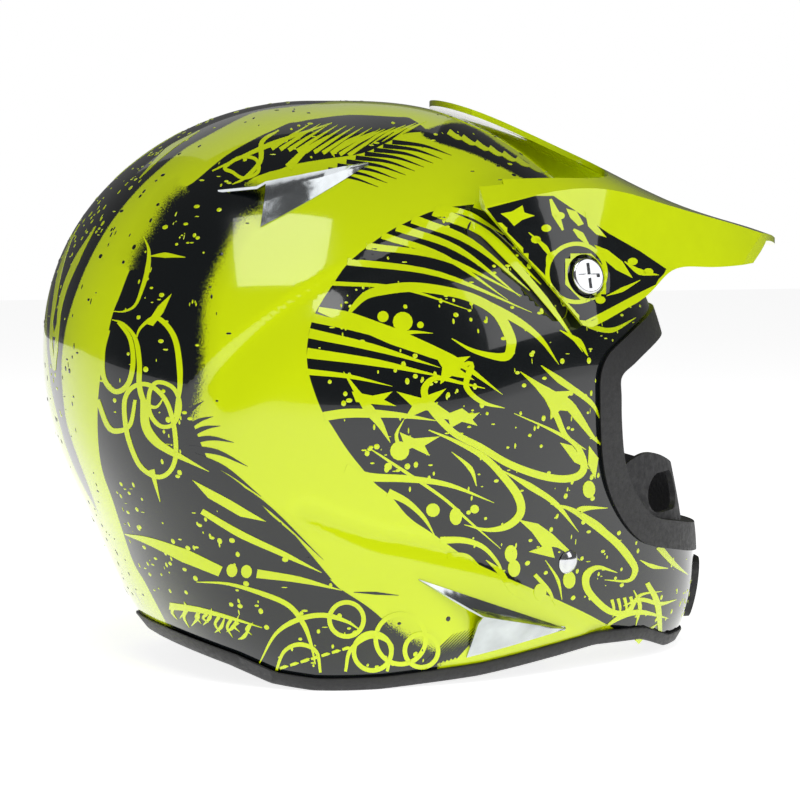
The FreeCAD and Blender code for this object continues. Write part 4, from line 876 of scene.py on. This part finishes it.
def makeSplatter(name, density, material, count, seed):
    faces = gridFaces[(density[gridFaces].max(1) > 0.01)]
    centres = surface[faces].mean(1)
    rimHeight = np.interp(centres[:, 0], *np.array(rimLine, float).T)
    faces = faces[(centres[:, 2] > rimHeight + 10)
                  & ~((insideBy(centres[:, [0, 2]], portLine) > -2) & (centres[:, 0] > 0))]
    used = np.unique(faces)
    renumber = np.full(len(surface), -1)
    renumber[used] = np.arange(len(used))
    piece = newMesh(name, surface[used], renumber[faces], material)
    piece.data.attributes.new("amount", "FLOAT", "POINT").data.foreach_set("value",
            density[used].astype(np.float32))
    group = bpy.data.node_groups.new(name + "Nodes", "GeometryNodeTree")
    for label, kind, inOut in (("Geometry", "NodeSocketGeometry", "INPUT"),
            ("Density", "NodeSocketFloat", "INPUT"),
                               ("Seed", "NodeSocketInt", "INPUT"),
                                       ("Geometry", "NodeSocketGeometry", "OUTPUT")):
        group.interface.new_socket(label, in_out=inOut, socket_type=kind)
    start, end = group.nodes.new("NodeGroupInput"), group.nodes.new("NodeGroupOutput")
    scatter = group.nodes.new("GeometryNodeDistributePointsOnFaces")
    drop = group.nodes.new("GeometryNodeMeshIcoSphere")
    drop.inputs["Radius"].default_value = 0.001
    drop.inputs["Subdivisions"].default_value = 2
    amount = group.nodes.new("GeometryNodeInputNamedAttribute")
    amount.inputs["Name"].default_value = "amount"
    times = group.nodes.new("ShaderNodeMath")
    times.operation = "MULTIPLY"
    size = group.nodes.new("FunctionNodeRandomValue")
    size.data_type = "FLOAT_VECTOR"
    size.inputs["Min"].default_value = (splatter["smallest"], splatter["smallest"], 0.16)
    size.inputs["Max"].default_value = (splatter["largest"], splatter["largest"], 0.24)
    instance = group.nodes.new("GeometryNodeInstanceOnPoints")
    realize = group.nodes.new("GeometryNodeRealizeInstances")
    finish = group.nodes.new("GeometryNodeSetMaterial")
    finish.inputs["Material"].default_value = material
    link = group.links.new
    link(start.outputs["Geometry"], scatter.inputs["Mesh"])
    link(start.outputs["Density"], times.inputs[0])
    link(amount.outputs["Attribute"], times.inputs[1])
    link(times.outputs[0], scatter.inputs["Density"])
    link(start.outputs["Seed"], scatter.inputs["Seed"])
    link(start.outputs["Seed"], size.inputs["Seed"])
    link(scatter.outputs["Points"], instance.inputs["Points"])
    link(scatter.outputs["Rotation"], instance.inputs["Rotation"])
    link(drop.outputs["Mesh"], instance.inputs["Instance"])
    link(size.outputs["Value"], instance.inputs["Scale"])
    link(instance.outputs["Instances"], realize.inputs["Geometry"])
    link(realize.outputs["Geometry"], finish.inputs["Geometry"])
    link(finish.outputs["Geometry"], end.inputs["Geometry"])
    modifier = piece.modifiers.new("scatter", "NODES")
    modifier.node_group = group
    identifiers = {item.name: item.identifier for item in group.interface.items_tree if item.in_out == "INPUT"}
    modifier[identifiers["Density"]] = count
    modifier[identifiers["Seed"]] = seed
    evaluated(piece)
    piece.data.materials.clear()
    piece.data.materials.append(material)
    return piece


depth, fade = zoneDepth(surface)
patches = 0.5 + 0.5 * np.sin(surface[:, 0] * 0.11 + 1.3) * np.sin(surface[:, 2] * 0.13 + surface[:,
        1] * 0.05)
patches = np.clip(patches * 1.6 - 0.35, 0, 1)
yellowDensity = np.where(depth > 1.5, patches + 0.12, 0.0)
blackDensity = np.where((depth < -0.5) & (fade > 0.2), np.exp(depth / 5.0), 0.0)
print("stage: splatter",
      len(makeSplatter("yellowSplatter", yellowDensity, materials["yellow"], splatter["yellowCount"],
              3).data.vertices),
      len(makeSplatter("blackSplatter", blackDensity, materials["black"], splatter["blackCount"],
              5).data.vertices))

# Thin edging on the rim, and curved chrome blades over the air scoops
edging = {"height": 6.5, "lip": 5.5, "out": 1.8, "in": 5.5, "steps": 260}
scoops = {
    "rear_vent": {"tip": (4, 236), "upper": (-66, 224), "lower": (-53, 208), "crest": (-47, 222),
            "raise": 9.5},
    "lower_vent": {"tip": (96, 21), "upper": (13, 51), "lower": (40, 13), "crest": (42, 34), "raise": 8.0},
}


def makeEdging():
    # Rubber ring that follows the rim, in rounded section.
    around = np.linspace(0, 2 * math.pi, edging["steps"], endpoint=False)
    high, out, inside, lip = edging["height"], edging["out"], edging["in"], edging["lip"]
    section = [(0.0, -inside + 1.2), (0.0, out - 1.0), (0.7, out - 0.2), (high - 0.9, out),
            (high - 0.2, out - 0.5),
               (high, out - 1.2), (high, -1.5), (lip, -2.5), (lip, -inside + 1), (lip - 0.8, -inside),
                       (0.8, -inside)]
    rings = []
    rimX, rimZ = np.array(rimLine, float).T
    for height, offset in section:
        low, top = np.full(len(around), 95.0), np.full(len(around), 178.0)
        for _ in range(40):
            middle = (low + top) / 2
            level = np.radians(middle)
            ray = np.stack([np.sin(level) * np.cos(around), np.sin(level) * np.sin(around),
                    np.cos(level)], 1)
            place = ray * reach(middle, around)[:, None] * stretch
            place *= (1 + offset / np.linalg.norm(place, axis=1))[:, None]
            above = place[:, 2] + form["centreZ"] - np.interp(place[:, 0], rimX, rimZ) - height > 0
            low, top = np.where(above, middle, low), np.where(above, top, middle)
        place[:, 2] += form["centreZ"]
        rings.append(place)
    count, steps = len(section), len(around)
    points = np.concatenate(rings)
    faces = [(j * steps + i, k * steps + i, k * steps + (i + 1) % steps, j * steps + (i + 1) % steps)
             for j, k in ((j, (j + 1) % count) for j in range(count)) for i in range(steps)]
    points[:, 2] = np.maximum(points[:, 2], 0.0)
    piece = newMesh("rimEdging", points, faces, materials["rubber"])
    piece.data.set_sharp_from_angle(angle=math.radians(50))
    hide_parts("base_trim")


def onSide(x, z, sign, raised):
    # Point above the painted surface at a place in side view.
    place, normal, _, _ = surfaceTree.ray_cast(Vector((x * stretch[0], sign * 400, z)),
            Vector((0, -sign, 0)))
    return np.array(place) + np.array(normal) * raised


def makeScoop(name, sizes, sign):
    # Two curved blades that rise from a tip to a crest at the open end.
    steps, across = 16, 5
    tip, crest = np.array(sizes["tip"], float), np.array(sizes["crest"], float)
    points, faces = [], []
    for t in np.linspace(0.02, 1, steps + 1):
        ridge = onSide(*(tip + (crest - tip) * t), sign, 1.0 + (sizes["raise"] - 1.0) * t ** 0.8)
        for j in range(2 * across + 1):
            corner = np.array(sizes["upper"] if j <= across else sizes["lower"], float)
            edge = onSide(*(tip + (corner - tip) * t), sign, 0.6)
            share = abs(j - across) / across
            spot = tip + ((crest - tip) * (1 - share) + (corner - tip) * share) * t
            above = onSide(*spot, sign, 0.6)
            straight = ridge * (1 - share) + edge * share
            points.append(straight * 0.7 + above * 0.3 if 0 < share < 1 else straight)
    row = 2 * across + 1
    for i in range(steps):
        for j in range(row - 1):
            face = (i * row + j, (i + 1) * row + j, (i + 1) * row + j + 1, i * row + j + 1)
            faces.append(face if sign < 0 else face[::-1])
    piece = newMesh(name + "_blades", points, faces, materials["chrome"])
    thick = piece.modifiers.new("thick", "SOLIDIFY")
    thick.thickness, thick.offset = 0.0012, -1.0
    evaluated(piece)
    piece.data.set_sharp_from_angle(angle=math.radians(28))
    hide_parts(name)


makeEdging()
for kind, sizes in scoops.items():
    for sideName, sign in (("left", 1), ("right", -1)):
        makeScoop(kind + "_" + sideName, sizes, sign)
print("stage: trim and scoops")

# Padded lining: each pad is blown up a little, as sewn fabric over foam
pads = {
    "crown_pad": 4.0, "brow_pad": 3.0, "nape_pad": 3.0, "temple_pad_left": 3.0, "temple_pad_right": 3.0,
    "neck_roll": 4.0, "cheek_pad_left": 5.0, "cheek_pad_right": 5.0,
}
cloth = {"grain": 0.005, "pressure": 4.0, "frames": 14, "tension": 12.0}


def softPad(name, most):
    # A pad from its plain solid, swollen under pressure by at most some millimetres.
    mesh = nodes[name].data.copy()
    piece = bpy.data.objects.new(name + "_cover", mesh)
    bpy.context.scene.collection.objects.link(piece)
    grain = piece.modifiers.new("grain", "REMESH")
    grain.mode, grain.voxel_size, grain.use_smooth_shade = "VOXEL", cloth["grain"], True
    evaluated(piece)
    rest = np.array([v.co for v in piece.data.vertices])
    swell = piece.modifiers.new("swell", "CLOTH")
    swell.settings.use_pressure = True
    swell.settings.uniform_pressure_force = cloth["pressure"]
    swell.settings.tension_stiffness = cloth["tension"]
    swell.settings.effector_weights.gravity = 0.0
    swell.settings.quality = 4
    swell.point_cache.frame_start, swell.point_cache.frame_end = 1, cloth["frames"]
    for step in range(1, cloth["frames"] + 1):
        bpy.context.scene.frame_set(step)
    evaluated(piece)
    bpy.context.scene.frame_set(1)
    blown = np.array([v.co for v in piece.data.vertices])
    change = blown - rest
    change -= change.mean(0)
    size = np.linalg.norm(change, axis=1)[:, None]
    change *= np.minimum(1.0, most / 1000 / np.maximum(size, 1e-9))
    rest = rest + np.nan_to_num(change)
    piece.data.vertices.foreach_set("co", rest.astype(np.float32).ravel())
    finer = piece.modifiers.new("finer", "SUBSURF")
    finer.levels = finer.render_levels = 1
    evaluated(piece)
    piece.data.polygons.foreach_set("use_smooth", [True] * len(piece.data.polygons))
    piece.data.materials.clear()
    cheek = name.startswith(("cheek", "neck"))
    piece.data.materials.append(materials["fabric" if cheek else "lining"])
    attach(piece, "shell")
    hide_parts(name)
    return piece


for name, most in pads.items():
    if name in nodes:
        softPad(name, most)
print("stage: pads")

# Chin strap: flat webbing through its rings
strap = {"x": 94.1, "width": 22.0, "thick": 1.6, "tab": 70.3, "fold": 34.5, "foldRadius": 2.6, "ring": 27.0,
         "ringFar": 45.0, "ringHeight": 13.2, "wire": 1.9, "wrapRadius": 2.9, "stitch": 2.4}


def arc(y, z, radius, start, end):
    count = max(3, int(abs(end - start) / 30) + 1)
    return [(y + radius * math.cos(a), z + radius * math.sin(a))
            for a in np.radians(np.linspace(start, end, count))]


def ringLoop(y, turn):
    z, wire, radius = strap["ringHeight"], strap["wire"], strap["wrapRadius"]
    return arc(y, z + wire, radius, 90, 90 + turn) + arc(y, z - wire, radius, 90 + turn, 90 + 2 * turn)


def tabLoop():
    y, z, radius = strap["tab"], strap["fold"], strap["foldRadius"]
    return [(y + radius - 0.5, z - 9), (y + radius, z - 4)] + arc(y, z, radius, 0, 180)


def webbing(name, node, line):
    # Closed flat band along a line across the helmet, with rounded edges.
    path = smoothLine(line, 4)
    ahead = np.gradient(path, axis=0)
    ahead /= np.linalg.norm(ahead, axis=1)[:, None]
    out = np.stack([-ahead[:, 1], ahead[:, 0]], 1)
    half, thick = strap["width"] / 2, strap["thick"] / 2
    section = [(-half, 0.0), (-half + 0.5, 0.8), (-half + 2.5, 1.0), (-4.0, 0.92), (4.0, 0.92),
            (half - 2.5, 1.0),
               (half - 0.5, 0.8), (half, 0.0), (half - 0.5, -0.8), (half - 2.5, -1.0), (4.0, -0.92),
               (-4.0, -0.92), (-half + 2.5, -1.0), (-half + 0.5, -0.8)]
    points, count = [], len(section)
    for place, normal in zip(path, out):
        for across, up in section:
            y, z = place + normal * up * thick
            points.append((strap["x"] + across, y, z))
    faces = []
    for i in range(len(path) - 1):
        for j in range(count):
            k = (j + 1) % count
            faces.append((i * count + j, (i + 1) * count + j, (i + 1) * count + k, i * count + k))
    faces += [tuple(range(count)), tuple(range(len(points) - count, len(points)))[::-1]]
    piece = newMesh(name, points, faces, materials["webbing"], "chin_strap")
    piece.data.set_sharp_from_angle(angle=math.radians(60))
    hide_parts(node)
    return path, out


def stitches(name, path, out, start, end):
    # Box of stitches through the webbing between two shares of its line.
    points, faces = [], []
    rows = range(int(start * len(path)), int(end * len(path)))
    for side in (-1, 1):
        for across in (-8.5, 8.5):
            for i in rows:
                y, z = path[i] + out[i] * side * (strap["thick"] / 2 + 0.1)
                first = len(points)
                ahead = np.array([-out[i][1], out[i][0]]) * -0.9
                for dx in (-0.35, 0.35):
                    for step in (-1, 1):
                        for raised in (-0.25, 0.15):
                            spot = np.array([y, z]) + ahead * step + out[i] * side * raised
                            points.append((strap["x"] + across + dx, *spot))
                faces += [tuple(first + k for k in face) for face in
                          ((0, 1, 3, 2), (4, 6, 7, 5), (0, 4, 5, 1), (2, 3, 7, 6), (0, 2, 6, 4),
                                  (1, 5, 7, 3))]
    piece = newMesh(name, points, faces, materials["thread"], "chin_strap", smooth=False)


fold = tabLoop()
loop = ringLoop(strap["ringFar"], 90)
high, lower = loop[0][1], loop[-1][1]
shortLine = (fold + [(fold[-1][0] - 0.3, 27), (fold[-1][0] - 4, high + 3.4),
        (strap["ringFar"] + 12, high + 0.4)]
             + loop + [(strap["ringFar"] + 7, lower + 0.3), (strap["ringFar"] + 14, lower + 1.8)])
path, out = webbing("shortStrap", "chin_strap_short", shortLine)
stitches("shortStitches", path, out, 0.3, 0.5)
fold = [(-y, z) for y, z in tabLoop()]
loop = ringLoop(strap["ring"], -90)
high, lower = loop[0][1], loop[-1][1]
longLine = (fold + [(fold[-1][0] + 0.3, 27), (fold[-1][0] + 5, 20), (fold[-1][0] + 17, 14.5), (-34, 12.2),
                    (-16, 12.2), (0, 13.8), (14, high - 1.2)]
            + loop + [(strap["ring"] - 12, lower + 0.9), (strap["ring"] - 24, lower + 1.6),
                      (strap["ring"] - 37, lower + 1.0), (strap["ring"] - 50, lower + 0.9)])
path, out = webbing("longStrap", "chin_strap_long", longLine)
stitches("longStitches", path, out, 0.18, 0.34)
print("stage: straps")

# Floor, lights and camera
studio = {"floor": (0.9, 0.9, 0.9),
        "backdrop": 1.0, "surround": 0.1, "glow": 0.84, "key": 14.0, "fill": 4.0, "rim": 1.5}
view = {"lens": 140.4, "away": 1.5, "shiftX": 0.011, "shiftY": -0.0184}


def makeStage():
    points = [(-4, -4, 0), (4, -4, 0), (4, 4, 0), (-4, 4, 0)]
    mesh = bpy.data.meshes.new("floor")
    mesh.from_pydata(points, [], [(0, 1, 2, 3)])
    floor = bpy.data.objects.new("floor", mesh)
    bpy.context.scene.collection.objects.link(floor)
    material, _, main = shader("floorPaint", studio["floor"], 0.9)
    main.inputs["Emission Color"].default_value = (1, 1, 1, 1)
    main.inputs["Emission Strength"].default_value = studio["glow"]
    mesh.materials.append(material)
    floor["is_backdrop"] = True
    world = bpy.data.worlds.new("studio")
    world.use_nodes = True
    background = next(node for node in world.node_tree.nodes if node.type == "BACKGROUND")
    background.inputs["Color"].default_value = (1, 1, 1, 1)
    path = world.node_tree.nodes.new("ShaderNodeLightPath")
    strength = world.node_tree.nodes.new("ShaderNodeMapRange")
    strength.inputs["To Min"].default_value = studio["surround"]
    strength.inputs["To Max"].default_value = studio["backdrop"]
    world.node_tree.links.new(path.outputs["Is Camera Ray"], strength.inputs["Value"])
    world.node_tree.links.new(strength.outputs["Result"], background.inputs["Strength"])
    bpy.context.scene.world = world
    for name, place, size, power in (("key", (-0.35, -1.0, 1.7), 1.1, studio["key"]),
                                     ("fill", (1.2, -1.2, 0.9), 0.9, studio["fill"]),
                                     ("rim", (0.2, 1.2, 1.4), 1.2, studio["rim"])):
        light = bpy.data.lights.new(name, "AREA")
        light.size, light.energy = size, power
        lamp = bpy.data.objects.new(name, light)
        lamp.location = place
        lamp.rotation_euler = (Vector((0, 0, 0.12)) - Vector(place)).to_track_quat("-Z", "Y").to_euler()
        bpy.context.scene.collection.objects.link(lamp)
    camera = bpy.data.cameras.new("camera")
    camera.lens, camera.sensor_width = view["lens"], 36.0
    camera.shift_x, camera.shift_y = view["shiftX"], view["shiftY"]
    holder = bpy.data.objects.new("camera", camera)
    aim = Vector(placed(target))
    holder.location = aim + Vector(backward) * view["away"]
    holder.rotation_euler = (-Vector(backward)).to_track_quat("-Z", "Y").to_euler()
    bpy.context.scene.collection.objects.link(holder)
    bpy.context.scene.camera = holder
    bpy.context.scene.view_settings.view_transform = "Standard"


makeStage()
print("stage: studio")

low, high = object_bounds()
